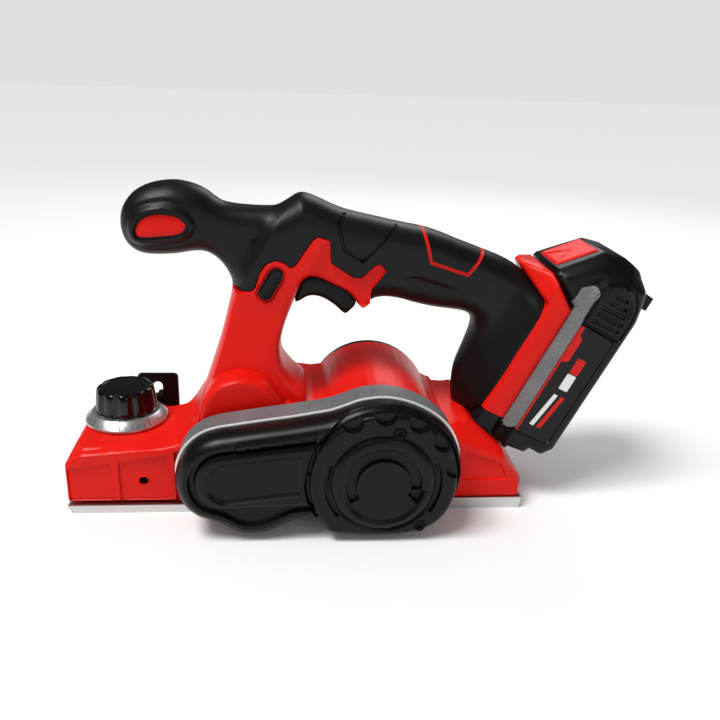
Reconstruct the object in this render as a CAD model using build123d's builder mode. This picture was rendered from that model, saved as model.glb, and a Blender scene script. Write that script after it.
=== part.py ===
from build123d import *
import os
from math import cos, sin, radians, atan2, degrees

os.makedirs("parts", exist_ok=True)

# Battery hand planer.  X runs from the nose to the tail, Y from the belt side to
# the chip side, Z up.  The origin is on the sole's running face, half way along.

# ---- sole and body
sole_len = 280.0          # front shoe and rear sole together
body_w = 90.0             # across the body at the sole
blade_w = 82.0            # planing width
sole_t = 7.5              # rear sole plate
shoe_t = 5.2              # front shoe plate
shoe_travel = 2.0         # deepest cut
shoe_gap = 0.3            # left between shoe and body at the deepest cut
wall = 3.0                # moulded walls
nose_h = 29.0             # upright part of the nose
deck_z = 43.0             # flat deck under the depth knob
deck_len = 50.0
shoulder_z = 66.0         # top of the body between chute and motor
tail_z = 48.0             # top of the tail at the motor
run_clear = 0.05          # running clearance between a shaft and its bore
face_clear = 0.4          # gap between parts that move past one another

# ---- cutter drum
drum_x = -37.0
tip_r = 24.4              # circle of the knife tips
tip_lift = 0.1            # knives stand just clear of the sole plane
drum_r = 23.2
drum_shaft_r = 5.0
brg_r = 13.0
brg_w = 7.0
knife_t = 1.2
knife_h = 8.0
mouth_clear = 1.2

# ---- motor and belt
motor_x = 48.0
motor_z = 39.0
hump_r = 45.5
can_r = 28.5
can_len = 54.0
rotor_r = 21.0
rotor_shaft_r = 4.0
mbrg_r = 11.0
fan_r = 27.0
drum_pulley_r = 14.0
motor_pulley_r = 12.0
belt_t = 2.6
belt_w = 11.0
belt_gap = 0.1
plate_t = 4.0             # back plate of the belt housing

# ---- belt cover on the left
band_w = 15.0             # silver base, measured along Y
cover_w = 19.0            # black cover beyond the base
disc_w = 3.0              # round pulley cover beyond the black cover
lobe_r = 33.0
lobe_x = -38.0
lobe_z = 36.0
floor_gap = 2.5           # cover's lower edge above the sole plane

# ---- chip chute
chute_x = -36.0
cap_rim = 3.0             # drum bearing cap beyond its bearing
spigot_wall = 2.6
chute_boss_r = 26.0
chute_bore_r = 17.5
chute_throat_r = 16.0     # chip way inside the body
chute_out = 14.0          # spigot beyond the body

# ---- depth knob
knob_inset = 29.4         # axis behind the nose
ring_r = 25.5
ring_h = 6.5
knob_r = 19.0
knob_top_r = 17.4
knob_h = 15.5
spindle_r = 4.0
guide_r = 4.0
guide_y = 29.0

# ---- handle
grip_half = 18.0
edge_r = 6.5
foot_half = 31.0
handle_rear = 140.0       # tail the rear leg and the battery slide are drawn for
foot_p = 92.0             # battery face of the foot, measured across the slide
foot_t = 13.5
slide_deg = 64.3          # battery slide above the sole plane
stop_s = 92.0             # battery's stop, measured along the slide

# ---- battery
pack_half = 37.5
pack_t = 37.0
pack_len = 112.0
tongue_head = 22.5
tongue_neck = 18.5
tongue_deep = 10.0
neck_deep = 4.5
rail_clear = 0.5
cell_r = 9.1
pack_side = 5.0           # case beyond the cells' ends
cell_len = 2 * (pack_half - pack_side)

# ---- trigger and lock button
trig_half = 7.5
lock_r = 5.0
lock_run = 12.0
lock_travel = 4.0

# ---- rabbet depth stop
stop_x = -98.3
stop_w = 28.0
stop_t = 3.0
stop_slot = 6.5
stop_top = 54.5
stop_low = 4.0
stop_screw_z = 26.0
m6_tap_r = 2.5
m6_r = 3.0
insert_r = 4.5
insert_len = 12.0
fence_x = -94.0
fence_z = 20.3

half = body_w / 2
nose_x = -sole_len / 2
tail_x = sole_len / 2
knob_x = nose_x + knob_inset
drum_z = tip_r + tip_lift
chute_z = drum_z + brg_r + cap_rim + face_clear + chute_bore_r + spigot_wall
rear = tail_x - handle_rear
drum_half = blade_w / 2
brg_in = half + plate_t - brg_w
body_z0 = sole_t
rib_ys = (-22.0, 14.0)
can_y0 = -28.0
shoe_body_gap = shoe_travel + shoe_gap
sl = radians(slide_deg)
d_vec = (cos(sl), 0, sin(sl))
n_vec = (sin(sl), 0, -cos(sl))
pack_plane = Plane(origin=(rear, 0, 0), x_dir=n_vec, z_dir=(0, -1, 0))
side = Plane.XZ


def at_y(y):
    """Side-view plane whose sketch lies at the given Y."""
    return Plane.XZ.offset(-y)


def disc(x, z, r, y0, y1):
    """Round slug across the tool, between two Y values."""
    lo, hi = min(y0, y1), max(y0, y1)
    return Pos(x, (lo + hi) / 2, z) * Rot(90, 0, 0) * Cylinder(r, hi - lo, mode=Mode.PRIVATE)


def slab(pts, y0, y1):
    """Side outline given thickness between two Y values."""
    lo, hi = min(y0, y1), max(y0, y1)
    with BuildSketch(at_y(hi), mode=Mode.PRIVATE) as sk:
        with BuildLine():
            Polyline(*pts, close=True)
        make_face()
    return extrude(sk.sketch, amount=hi - lo, mode=Mode.PRIVATE)


def save(name, tag):
    name.part.label = tag
    export_step(name.part, f"parts/{tag}.step")


# ------------------------------------------------------------------ body
body_pts = [(nose_x, body_z0), (nose_x, nose_h), (nose_x + 7, deck_z),
            (nose_x + 7 + deck_len, deck_z), (chute_x - 34, deck_z + 3),
            (chute_x - 28.5, deck_z + 13), (chute_x - 26, shoulder_z - 2), (chute_x - 10, shoulder_z - 2),
            (motor_x - 40, shoulder_z + 2), (motor_x, motor_z + 20),
            (motor_x + 46, motor_z + 16), (tail_x - 44, tail_z),
            (tail_x - 12, tail_z - 11), (tail_x - 7, tail_z - 20),
            (tail_x, tail_z - 28), (tail_x, body_z0)]

with BuildPart() as body_form:
    with BuildSketch(at_y(half)):
        with BuildLine():
            Polyline(*body_pts, close=True)
        make_face()
    extrude(amount=body_w)
    with BuildSketch(at_y(half)):
        with Locations((motor_x, motor_z)):
            Circle(hump_r)
    extrude(amount=body_w)
    with BuildSketch(at_y(half)):
        with Locations((chute_x, chute_z)):
            Circle(chute_boss_r)
    extrude(amount=body_w - 5)
    with BuildSketch(Plane.XY.offset(body_z0)):
        Rectangle(sole_len * 2, body_w * 2)
    extrude(amount=-60, mode=Mode.SUBTRACT)

front_cut = [(nose_x + 4, 0), (nose_x + 4, nose_h - 5), (nose_x + 10, deck_z - 4),
             (nose_x + 54, deck_z - 4), (chute_x - 35, deck_z - 4), (chute_x - 35, 0)]
tail_cut = [(motor_x + 44, 0), (tail_x - 46, tail_z - 5), (tail_x - 15, tail_z - 15),
            (tail_x - 5, tail_z - 30), (tail_x - 5, 0)]
pocket = drum_half + 0.6
bridge_z = deck_z - 10

with BuildPart() as base_housing:
    add(body_form.part)
    # front pocket over the shoe, with a boss for the depth screw and two guides
    add(slab(front_cut, -half + wall, half - wall), mode=Mode.SUBTRACT)
    with BuildSketch(Plane.XY.offset(deck_z - 4)):
        with Locations((knob_x, 0)):
            Circle(11)
        with Locations((knob_x, guide_y), (knob_x, -guide_y)):
            Circle(guide_r + 3.5)
    extrude(amount=-13)
    with BuildSketch(Plane.XY.offset(deck_z + 1)):
        with Locations((knob_x, 0)):
            Circle(spindle_r + run_clear)
    extrude(amount=-60, mode=Mode.SUBTRACT)
    with BuildSketch(Plane.XY.offset(deck_z - 5)):
        with Locations((knob_x, guide_y), (knob_x, -guide_y)):
            Circle(guide_r + run_clear)
    extrude(amount=-60, mode=Mode.SUBTRACT)
    for bx, bz, y0, y1 in ((fence_x, fence_z, -half, -half + insert_len),
                           (stop_x, stop_screw_z, half - insert_len, half)):
        add(disc(bx, bz, insert_r + 2.5, y0, y1))
    # cutter chamber, open downwards
    add(disc(drum_x, drum_z, tip_r + 3.2, -pocket, pocket), mode=Mode.SUBTRACT)
    with BuildSketch(Plane.XY.offset(drum_z)):
        with Locations((drum_x, 0)):
            Rectangle(2 * tip_r + 6.4, 2 * pocket)
    extrude(amount=-40, mode=Mode.SUBTRACT)
    # chip bore to the right
    add(disc(chute_x, chute_z, chute_throat_r, -half + 9, half + 1), mode=Mode.SUBTRACT)
    # bearing seats through both walls
    add(disc(drum_x, drum_z, brg_r, -half - 1, half + 1), mode=Mode.SUBTRACT)
    # motor chamber, open on the right for the motor to go in
    with BuildSketch(at_y(half + 1)):
        with Locations((motor_x, motor_z)):
            Circle(hump_r - wall)
    extrude(amount=body_w - wall, mode=Mode.SUBTRACT)
    for y in rib_ys:
        add(disc(motor_x, motor_z, hump_r - wall + 0.5, y, y + wall)
            - disc(motor_x, motor_z, can_r, y - 1, y + wall + 1))
    with BuildSketch(Plane.XY.offset(body_z0)):
        Rectangle(sole_len * 2, body_w * 2)
    extrude(amount=-60, mode=Mode.SUBTRACT)
    add(disc(motor_x, motor_z, mbrg_r, -half - 1, -half + wall + 1), mode=Mode.SUBTRACT)
    # tail pocket
    add(slab(tail_cut, -half + wall, half - wall), mode=Mode.SUBTRACT)
    # fence hole, left; stop-screw hole, right
    add(disc(fence_x, fence_z, insert_r, -half - 1, -half + insert_len), mode=Mode.SUBTRACT)
    add(disc(stop_x, stop_screw_z, insert_r, half - insert_len, half + 1), mode=Mode.SUBTRACT)
save(base_housing, "base_housing")

# ------------------------------------------------------------------ sole
mouth = tip_r + mouth_clear


def chord(z):
    """Half width of the mouth circle at height z."""
    return (mouth ** 2 - (drum_z - z) ** 2) ** 0.5


shoe_x1 = drum_x - chord(shoe_t) - 1.5
sole_x0 = drum_x + chord(sole_t) + 0.5

with BuildPart() as rear_sole:
    add(slab([(sole_x0 - 9, 0), (sole_x0, sole_t), (tail_x, sole_t), (tail_x, 2), (tail_x - 2, 0)],
             -half, half))
    # locating rib inside the tail pocket
    with BuildSketch(Plane.XY.offset(sole_t)):
        with Locations(((motor_x + tail_x) / 2 + 22, 0)):
            RectangleRounded(30, body_w - 2 * wall - 2, 3)
    extrude(amount=6)
    with BuildSketch(Plane.XY.offset(sole_t)):
        with Locations(((motor_x + tail_x) / 2 + 22, 0)):
            RectangleRounded(24, body_w - 2 * wall - 8, 2)
    extrude(amount=6, mode=Mode.SUBTRACT)
save(rear_sole, "rear_sole")

groove = 3.0
with BuildPart() as front_shoe:
    add(slab([(nose_x + 4, 0), (nose_x, 3.5), (nose_x, shoe_t), (shoe_x1, shoe_t),
              (shoe_x1 + 4, 0)], -half, half))
    # chamfering groove along the middle
    with BuildSketch(Plane.YZ.offset(nose_x - 1)):
        with BuildLine():
            Polyline((-groove, -0.01), (0, groove), (groove, -0.01), close=True)
        make_face()
    extrude(amount=shoe_x1 - nose_x + 10, mode=Mode.SUBTRACT)
    with BuildSketch(Plane.XY.offset(shoe_t)):
        with Locations((knob_x, 0)):
            Circle(9)
    extrude(amount=deck_z - 4 - 13 - shoe_t - shoe_body_gap)
    with BuildSketch(Plane.XY.offset(shoe_t - 0.01)):
        with Locations((knob_x, guide_y), (knob_x, -guide_y)):
            Circle(guide_r)
    extrude(amount=deck_z - 7.5 - shoe_body_gap - shoe_t)
    with BuildSketch(Plane.XY.offset(groove + 1)):
        with Locations((knob_x, 0)):
            Circle(spindle_r + run_clear)
    extrude(amount=60, mode=Mode.SUBTRACT)
save(front_shoe, "front_shoe")

# ------------------------------------------------------------------ depth knob
ring_z = deck_z + face_clear
knob_z = ring_z + ring_h
with BuildPart() as scale_ring:
    with BuildSketch(Plane.XZ):
        with BuildLine():
            Polyline((spindle_r + 2, ring_z), (ring_r - 0.8, ring_z), (ring_r, ring_z + 0.8),
                     (ring_r, ring_z + 2.2), (knob_r + 0.6, knob_z), (spindle_r + 2, knob_z), close=True)
        make_face()
    revolve(axis=Axis.Z)
scale_ring.part.position = (knob_x, 0, 0)
save(scale_ring, "scale_ring")

flutes = 16
with BuildPart() as depth_knob:
    with BuildSketch(Plane.XZ):
        with BuildLine():
            Polyline((spindle_r, knob_z), (knob_r, knob_z), (knob_r, knob_z + 2.5),
                     (knob_r - 0.6, knob_z + 3.2), (knob_top_r, knob_z + knob_h - 1.5),
                     (knob_top_r - 1.5, knob_z + knob_h), (spindle_r, knob_z + knob_h), close=True)
        make_face()
    revolve(axis=Axis.Z)
    with BuildSketch(Plane.XY.offset(knob_z + 3.2)):
        with PolarLocations(knob_r + 1.2, flutes):
            Circle(2.4)
    extrude(amount=knob_h, mode=Mode.SUBTRACT)
depth_knob.part.position = (knob_x, 0, 0)
save(depth_knob, "depth_knob")

with BuildPart() as depth_spindle:
    with BuildSketch(Plane.XY.offset(groove + 1 + shoe_travel + 0.6)):
        Circle(spindle_r)
    extrude(amount=ring_z - groove - 1 - shoe_travel - 0.6)
    with BuildSketch(Plane.XY.offset(ring_z)):
        Circle(spindle_r + 2)
    extrude(amount=ring_h)
    with BuildSketch(Plane.XY.offset(knob_z)):
        Circle(spindle_r)
    extrude(amount=knob_h - 0.5)
depth_spindle.part.position = (knob_x, 0, 0)
save(depth_spindle, "depth_spindle")

with BuildPart() as depth_pointer:
    with BuildSketch(Plane.XY.offset(deck_z)):
        with Locations((knob_x + ring_r + 5.0, 0)):
            Rectangle(7, 10)
    extrude(amount=4)
    add(body_form.part, mode=Mode.SUBTRACT)
save(depth_pointer, "depth_pointer")

# ------------------------------------------------------------------ cutter drum
with BuildPart() as drum:
    add(disc(drum_x, drum_z, drum_r, -drum_half, drum_half))
    for turn in (0, 180):
        slot = Pos(drum_x, 0, drum_z) * Rot(0, turn, 0) * Pos(-drum_r + 4.4, 0, 2.5)
        add(slot * Box(8.8 + 4, blade_w + 2, 7.0, mode=Mode.PRIVATE), mode=Mode.SUBTRACT)
    add(disc(drum_x, drum_z, drum_shaft_r + 2, -brg_in + face_clear, brg_in - face_clear))
    add(disc(drum_x, drum_z, drum_shaft_r, -half - plate_t - 2 - belt_w - 1, half + plate_t - 0.5))
save(drum, "drum")

knives = []
clamps = []
screws = []
for turn in (0, 180):
    turned = Pos(drum_x, 0, drum_z) * Rot(0, turn, 0)
    knives.append(turned * Pos(-tip_r + knife_h / 2, 0, -1.0 + knife_t / 2) * Box(knife_h, blade_w, knife_t))
    clamps.append(turned * Pos(-drum_r + 5.4, 0, -1.0 + knife_t + 2.1) * Box(8.6, blade_w - 1, 4.2))
    for y in (-30, 0, 30):
        screws.append(turned * Pos(-drum_r + 5.0, y, -1.0 + knife_t + 4.2 + 0.7) * Cylinder(3.2, 1.4))
with BuildPart() as knife_pair:
    add(knives)
save(knife_pair, "knives")
with BuildPart() as clamp_pair:
    add(clamps)
save(clamp_pair, "knife_clamps")
with BuildPart() as knife_screws:
    add(screws)
save(knife_screws, "knife_screws")

belt_y0 = -half - plate_t - 2.0
belt_y1 = belt_y0 - belt_w


def pulley(x, z, r, bore):
    """Flat pulley with a flange on each side of the belt."""
    body = disc(x, z, r, belt_y0 + 0.6, belt_y1 - 0.6)
    body += disc(x, z, r + 2.2, belt_y0 + 1.4, belt_y0 + 0.6)
    body += disc(x, z, r + 2.2, belt_y1 - 0.6, belt_y1 - 1.4)
    return body - disc(x, z, bore, belt_y0 + 5, belt_y1 - 5)


with BuildPart() as drum_pulley:
    add(pulley(drum_x, drum_z, drum_pulley_r, drum_shaft_r))
save(drum_pulley, "drum_pulley")


def bearing(x, z, r, bore, y0, y1):
    """Ball bearing: outer ring, shields and inner ring as one slug."""
    body = disc(x, z, r, y0, y1) - disc(x, z, bore + run_clear, y0 - 1, y1 + 1)
    for y in (y0, y1 - 0.6):
        body -= disc(x, z, r - 1.8, y, y + 0.6) - disc(x, z, bore + 1.8, y, y + 0.6)
    return body


with BuildPart() as drum_bearings:
    add(bearing(drum_x, drum_z, brg_r, drum_shaft_r, -half - plate_t, -brg_in))
    add(bearing(drum_x, drum_z, brg_r, drum_shaft_r, brg_in, half + plate_t))
save(drum_bearings, "drum_bearings")

# ------------------------------------------------------------------ belt housing
axle_x = motor_x - 1.0


def cover_face(y, k):
    """Side outline of the belt housing, k inside its outer edge, at the given Y."""
    with BuildSketch(at_y(y), mode=Mode.PRIVATE) as sk:
        with Locations((lobe_x, lobe_z)):
            Circle(lobe_r - k)
        with Locations((axle_x, motor_z)):
            Circle(hump_r - k)
        with BuildLine():
            Polyline((lobe_x - 4, lobe_z + lobe_r * 0.99 - k), (axle_x - 29, motor_z + 36.5 - k),
                     (axle_x, motor_z), (axle_x - 35 + k, lobe_z - 24 + k), (lobe_x + 37, lobe_z - 24.5 + k),
                     (lobe_x + 27, lobe_z - 27 + k), (lobe_x + 9, lobe_z - 32 + k), (lobe_x, lobe_z), close=True)
        make_face()
        with Locations((0, floor_gap + k - 100)):
            Rectangle(900, 200, mode=Mode.SUBTRACT)
    return sk.sketch


band_y = -half - band_w
cover_y = band_y - cover_w
disc_y = cover_y - disc_w

with BuildPart() as belt_base:
    extrude(cover_face(-half, 0), amount=band_w)
    extrude(cover_face(-half - plate_t, wall), amount=band_w, mode=Mode.SUBTRACT)
    add(disc(drum_x, drum_z, brg_r, -half + 1, -half - plate_t - 1), mode=Mode.SUBTRACT)
    add(disc(motor_x, motor_z, mbrg_r, -half + 1, -half - plate_t - 1), mode=Mode.SUBTRACT)
save(belt_base, "belt_base")

screw_xz = ((axle_x + 7.5, motor_z + 31.0), (axle_x + 22, motor_z - 28.5))
with BuildPart() as belt_cover:
    for step in range(4):
        extrude(cover_face(band_y, 0.9 * step), amount=cover_w - 0.9 * (3 - step))
    extrude(cover_face(band_y, wall), amount=cover_w - wall - 1, mode=Mode.SUBTRACT)
    for x, z in screw_xz:
        add(disc(x, z, 4.2, band_y, cover_y + 1))
    for x, z in screw_xz:
        add(disc(x, z, 2.0, band_y + 1, cover_y - 5), mode=Mode.SUBTRACT)
    # long raised panel over the drum end
    with BuildSketch(at_y(cover_y)):
        with BuildLine():
            Polyline((lobe_x - 14, lobe_z - 11), (axle_x - 44, lobe_z - 6), (axle_x - 44, lobe_z + 22),
                     (lobe_x - 6, lobe_z + 16), (lobe_x - 21, lobe_z + 6), close=True)
        make_face()
    extrude(amount=1.2)
save(belt_cover, "belt_cover")

disc_r = hump_r - 1.5
with BuildPart() as pulley_cover:
    with BuildSketch(at_y(cover_y)):
        with Locations((axle_x, motor_z)):
            Circle(disc_r)
        with Locations((0, floor_gap + 2 - 100)):
            Rectangle(900, 200, mode=Mode.SUBTRACT)
        for k in range(7):
            ang = radians(120 - 24 * k)
            with Locations((axle_x + disc_r * cos(ang), motor_z + disc_r * sin(ang))):
                Circle(5.0, mode=Mode.SUBTRACT)
        for x, z in screw_xz:
            with Locations((x, z)):
                Circle(4.0, mode=Mode.SUBTRACT)
    extrude(amount=disc_w)
    with BuildSketch(at_y(cover_y - disc_w)):
        with Locations((axle_x, motor_z)):
            Circle(31)
            Circle(29, mode=Mode.SUBTRACT)
    extrude(amount=-1.0, mode=Mode.SUBTRACT)
save(pulley_cover, "pulley_cover")

with BuildPart() as cover_screws:
    for x, z in screw_xz:
        add(disc(x, z, 3.5, cover_y, cover_y - 1.6) - disc(x, z, 1.5, cover_y - 0.6, cover_y - 2))
        add(disc(x, z, 2.0, cover_y, band_y))
save(cover_screws, "cover_screws")

with BuildPart() as drive_belt:
    with BuildSketch(at_y(belt_y0)):
        with Locations((drum_x, drum_z)):
            Circle(drum_pulley_r + belt_gap + belt_t)
        with Locations((motor_x, motor_z)):
            Circle(motor_pulley_r + belt_gap + belt_t)
        make_hull()
    extrude(amount=belt_w)
    with BuildSketch(at_y(belt_y0)):
        with Locations((drum_x, drum_z)):
            Circle(drum_pulley_r + belt_gap)
        with Locations((motor_x, motor_z)):
            Circle(motor_pulley_r + belt_gap)
        make_hull()
    extrude(amount=belt_w, mode=Mode.SUBTRACT)
save(drive_belt, "drive_belt")

# ------------------------------------------------------------------ motor
with BuildPart() as motor_can:
    add(disc(motor_x, motor_z, can_r, can_y0, can_y0 + can_len))
    add(disc(motor_x, motor_z, rotor_r + 1.0, can_y0 - 1, can_y0 + can_len + 1), mode=Mode.SUBTRACT)
save(motor_can, "motor_can")

mbrg_y = half - 2.0
with BuildPart() as motor_bearings:
    add(bearing(motor_x, motor_z, mbrg_r, rotor_shaft_r, -half - plate_t, -brg_in))
    add(bearing(motor_x, motor_z, mbrg_r, rotor_shaft_r, mbrg_y, mbrg_y + brg_w))
save(motor_bearings, "motor_bearings")

with BuildPart() as rotor_shaft:
    add(disc(motor_x, motor_z, rotor_shaft_r, belt_y1 - 1, mbrg_y + brg_w - 0.5))
save(rotor_shaft, "rotor_shaft")
with BuildPart() as rotor_core:
    add(disc(motor_x, motor_z, rotor_r, can_y0 + 4, can_y0 + can_len - 6))
    add(disc(motor_x, motor_z, 9, can_y0 + can_len - 6, can_y0 + can_len + 8))
    add(disc(motor_x, motor_z, rotor_shaft_r, -half, half), mode=Mode.SUBTRACT)
save(rotor_core, "rotor_core")
with BuildPart() as fan:
    add(disc(motor_x, motor_z, fan_r, -brg_in + 2.5, -brg_in + 1.0))
    add(disc(motor_x, motor_z, 8, -brg_in + 9, -brg_in + 1.0))
    for k in range(9):
        blade = Rot(0, 40 * k, 0) * Pos(fan_r / 2 + 3, 0, 0) * Box(fan_r - 8, 7, 1.4, mode=Mode.PRIVATE)
        add(Pos(motor_x, -brg_in + 5.5, motor_z) * blade)
    add(disc(motor_x, motor_z, rotor_shaft_r, -half, half), mode=Mode.SUBTRACT)
save(fan, "fan")
with BuildPart() as motor_pulley:
    add(pulley(motor_x, motor_z, motor_pulley_r, rotor_shaft_r))
save(motor_pulley, "motor_pulley")

with BuildPart() as brushes:
    for s in (-1, 1):
        add(Pos(motor_x + s * (9.4 + 7), can_y0 + can_len + 4, motor_z) * Box(14, 7, 6, mode=Mode.PRIVATE))
save(brushes, "brushes")

right_y = half + 8.0
with BuildPart() as motor_cover:
    with BuildSketch(at_y(right_y)):
        with Locations((motor_x, motor_z)):
            Circle(hump_r - 0.5)
        with Locations((0, sole_t - 100)):
            Rectangle(900, 200, mode=Mode.SUBTRACT)
    extrude(amount=right_y - half)
    chamfer(motor_cover.faces().sort_by(Axis.Y)[-1].outer_wire().edges(), 2.0)
    with BuildSketch(at_y(right_y - wall)):
        with Locations((motor_x, motor_z)):
            Circle(hump_r - 0.5 - wall)
        with Locations((0, sole_t + wall - 100)):
            Rectangle(900, 200, mode=Mode.SUBTRACT)
    extrude(amount=right_y, mode=Mode.SUBTRACT)
    add(disc(motor_x, motor_z, mbrg_r + 2.5, mbrg_y, right_y - wall))
    add(disc(motor_x, motor_z, mbrg_r, mbrg_y - 1, mbrg_y + brg_w), mode=Mode.SUBTRACT)
    for k in range(20):
        if k in (14, 15, 16):
            continue
        slot = Rot(0, 18 * k, 0) * Pos(27, 0, 0) * Box(17, 12, 3.2, mode=Mode.PRIVATE)
        add(Pos(motor_x, right_y, motor_z) * slot, mode=Mode.SUBTRACT)
save(motor_cover, "motor_cover")

with BuildPart() as bearing_cap:
    add(disc(drum_x, drum_z, brg_r + cap_rim, half, half + plate_t + 2))
    add(disc(drum_x, drum_z, brg_r, half - 1, half + plate_t), mode=Mode.SUBTRACT)
    chamfer(bearing_cap.faces().sort_by(Axis.Y)[-1].outer_wire().edges(), 1.2)
save(bearing_cap, "bearing_cap")

with BuildPart() as chip_spigot:
    add(disc(chute_x, chute_z, chute_bore_r + spigot_wall, half, half + chute_out))
    add(disc(chute_x, chute_z, chute_bore_r, half - 1, half + chute_out + 1), mode=Mode.SUBTRACT)
save(chip_spigot, "chip_spigot")

# ------------------------------------------------------------------ fence insert and depth stop
with BuildPart() as fence_insert:
    add(disc(fence_x, fence_z, insert_r, -half, -half + insert_len))
    add(disc(fence_x, fence_z, m6_tap_r, -half - 1, -half + insert_len - 1), mode=Mode.SUBTRACT)
save(fence_insert, "fence_insert")
with BuildPart() as stop_insert:
    add(disc(stop_x, stop_screw_z, insert_r, half - insert_len, half))
    add(disc(stop_x, stop_screw_z, m6_r + run_clear, half - insert_len - 1, half + 1), mode=Mode.SUBTRACT)
save(stop_insert, "stop_insert")

stop_y = half + face_clear
with BuildPart() as depth_stop:
    with BuildSketch(at_y(stop_y + stop_t)):
        with Locations((stop_x, (stop_top + stop_low) / 2)):
            RectangleRounded(stop_w, stop_top - stop_low, 3.0)
        with Locations((stop_x, (stop_top + stop_low + 1) / 2)):
            SlotOverall(stop_top - stop_low - 12, stop_slot, rotation=90, mode=Mode.SUBTRACT)
    extrude(amount=stop_t)
    with BuildSketch(at_y(stop_y + 14)):
        with Locations((stop_x, stop_low + 1.5)):
            Rectangle(stop_w - 8, 3)
    extrude(amount=14)
save(depth_stop, "depth_stop")

with BuildPart() as stop_knob:
    add(disc(stop_x, stop_screw_z, m6_r, half - insert_len + 1, stop_y + stop_t + 1))
    add(disc(stop_x, stop_screw_z, 5.5, stop_y + stop_t + 0.3, stop_y + stop_t + 3))
    with BuildSketch(at_y(stop_y + stop_t + 16)):
        with Locations((stop_x, stop_screw_z)):
            Circle(9)
            with PolarLocations(9.8, 6):
                Circle(2.2, mode=Mode.SUBTRACT)
    extrude(amount=13)
save(stop_knob, "stop_knob")

# ------------------------------------------------------------------ handle
outline = [(-67, 42), (-64, 56), (-56, 80), (-48.5, 103), (-43.5, 124), (-41.5, 134), (-44, 142),
           (-50, 150.5), (-57.5, 155), (-72, 152.7), (-90, 151.5), (-99, 154), (-104, 161),
           (-105.4, 169.5), (-103, 180), (-96, 188.5), (-86, 193.5), (-73.6, 195), (-60, 192.5),
           (-53, 189), (-47, 183.5), (-32.6, 181.3), (-14, 181), (-6, 186.5), (0, 189),
           (9.7, 186.5), (27, 179.5), (59.4, 172.8), (74, 170.3), (95, 163), (115, 155.7),
           (130, 150.2), (141, 141.8), (150.7, 128.2), (115.4, 61.1), (109, 46), (96, 50),
           (98.5, 72), (97.5, 87), (100, 100), (106, 112), (105.3, 117.3), (102, 120), (92.6, 121),
           (69.8, 125.5), (54.6, 129), (42.5, 127), (40, 124.2), (37, 123.5), (34, 126), (28.4, 131.2),
           (14.8, 137.8), (6.4, 141), (1.5, 139), (-1.5, 132), (-5.4, 121.6), (-10.9, 105.8),
           (-12.5, 94.5), (-8.4, 79.6), (-2, 60)]
black = [(-140, 134.5), (-43.5, 134.5), (-36.8, 132.9), (-28.9, 133.6), (-26.9, 135.2), (-23.1, 146),
         (-20.6, 149.8), (-15.4, 151.9), (-10, 149.9), (-5.5, 147.9), (-2.7, 150.4), (7, 165.5),
         (9.5, 166.5), (15.9, 164.5), (17, 151.2), (31.4, 141.5), (36.5, 141.6), (44.9, 150.3),
         (46.9, 150.4), (50.9, 146.5), (42.6, 135.7), (42.7, 120), (60, 40), (160, 40), (160, 240),
         (-140, 240)]
outline = [(x + rear if x > 80 else x, z) for x, z in outline]
black = [(x + rear if x > 100 else x, z) for x, z in black]
foot_ps = [(foot_p - foot_t, stop_s - 3.5), (foot_p, stop_s - 3.5), (foot_p, stop_s + 92),
           (foot_p - 21, stop_s + 106.5), (foot_p - 34, stop_s + 106.5), (foot_p - 26, stop_s + 97),
           (foot_p - 12, stop_s + 89)]
trig_pts = [(-1, 138), (-4.0, 124.4), (-2.5, 123.4), (3.5, 126.7), (7.8, 127.5), (13.8, 126.1),
            (20.7, 121.7), (26, 116.9), (27.8, 116.1), (29.5, 116.9), (34, 122), (33.5, 130),
            (20, 138), (6, 142)]
trig_cut = [(-4.8, 112), (-4.8, 140), (3, 147), (37, 144), (37, 112)]
lock_x, lock_z, lock_turn = -18.0, 137.5, 60.0
post_xz = ((-74, 174), (-28, 162), (62, 150), (92 + rear, 142), (122 + rear, 138), (-34, 108))


def slide_slab(pts, y0, y1):
    """Outline drawn across and along the battery slide, thick between two Y values."""
    with BuildSketch(pack_plane.offset(-y1), mode=Mode.PRIVATE) as sk:
        with BuildLine():
            Polyline(*pts, close=True)
        make_face()
    return extrude(sk.sketch, amount=y1 - y0, mode=Mode.PRIVATE)


def slide_box(p0, p1, s0, s1, y0, y1):
    return slide_slab([(p0, s0), (p1, s0), (p1, s1), (p0, s1)], y0, y1)


def inset_face(pts, y, k):
    """Side outline at the given Y, k inside the drawn points."""
    with BuildSketch(at_y(y), mode=Mode.PRIVATE) as sk:
        with BuildLine():
            Polyline(*pts, close=True)
        make_face()
        if k:
            offset(amount=-k, mode=Mode.REPLACE)
    return sk.sketch


with BuildPart() as half_form:
    y = 0.0
    for depth, inset in ((grip_half - 6.0, 0), (2.5, 0.8), (2.0, 2.2), (1.5, 4.2)):
        extrude(inset_face(outline, y, inset), amount=depth)
        y -= depth
    extrude(inset_face(outline, 0, wall), amount=grip_half - 7, mode=Mode.SUBTRACT)
    extrude(inset_face(outline, 0, wall + 3), amount=grip_half - wall, mode=Mode.SUBTRACT)

foot_form = slide_slab(foot_ps, -foot_half, 0)
head_p = foot_p - tongue_deep - rail_clear
neck_p = foot_p - neck_deep
rail_cut = slide_box(head_p, neck_p + rail_clear, stop_s - 1, stop_s + 140,
                     -tongue_head - rail_clear, tongue_head + rail_clear)
rail_cut += slide_box(neck_p, foot_p + 1, stop_s - 1, stop_s + 140,
                      -tongue_neck - rail_clear, tongue_neck + rail_clear)
black_form = slab(black, -60, 60)
trig_hole = slab(trig_cut, -trig_half - 0.6, trig_half + 0.6)


def lock_form(k, y0, y1):
    with BuildSketch(at_y(y1), mode=Mode.PRIVATE) as sk:
        with Locations((lock_x, lock_z)):
            SlotOverall(21 + 2 * k, 8.4 + 2 * k, rotation=lock_turn)
    return extrude(sk.sketch, amount=y1 - y0, mode=Mode.PRIVATE)


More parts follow.
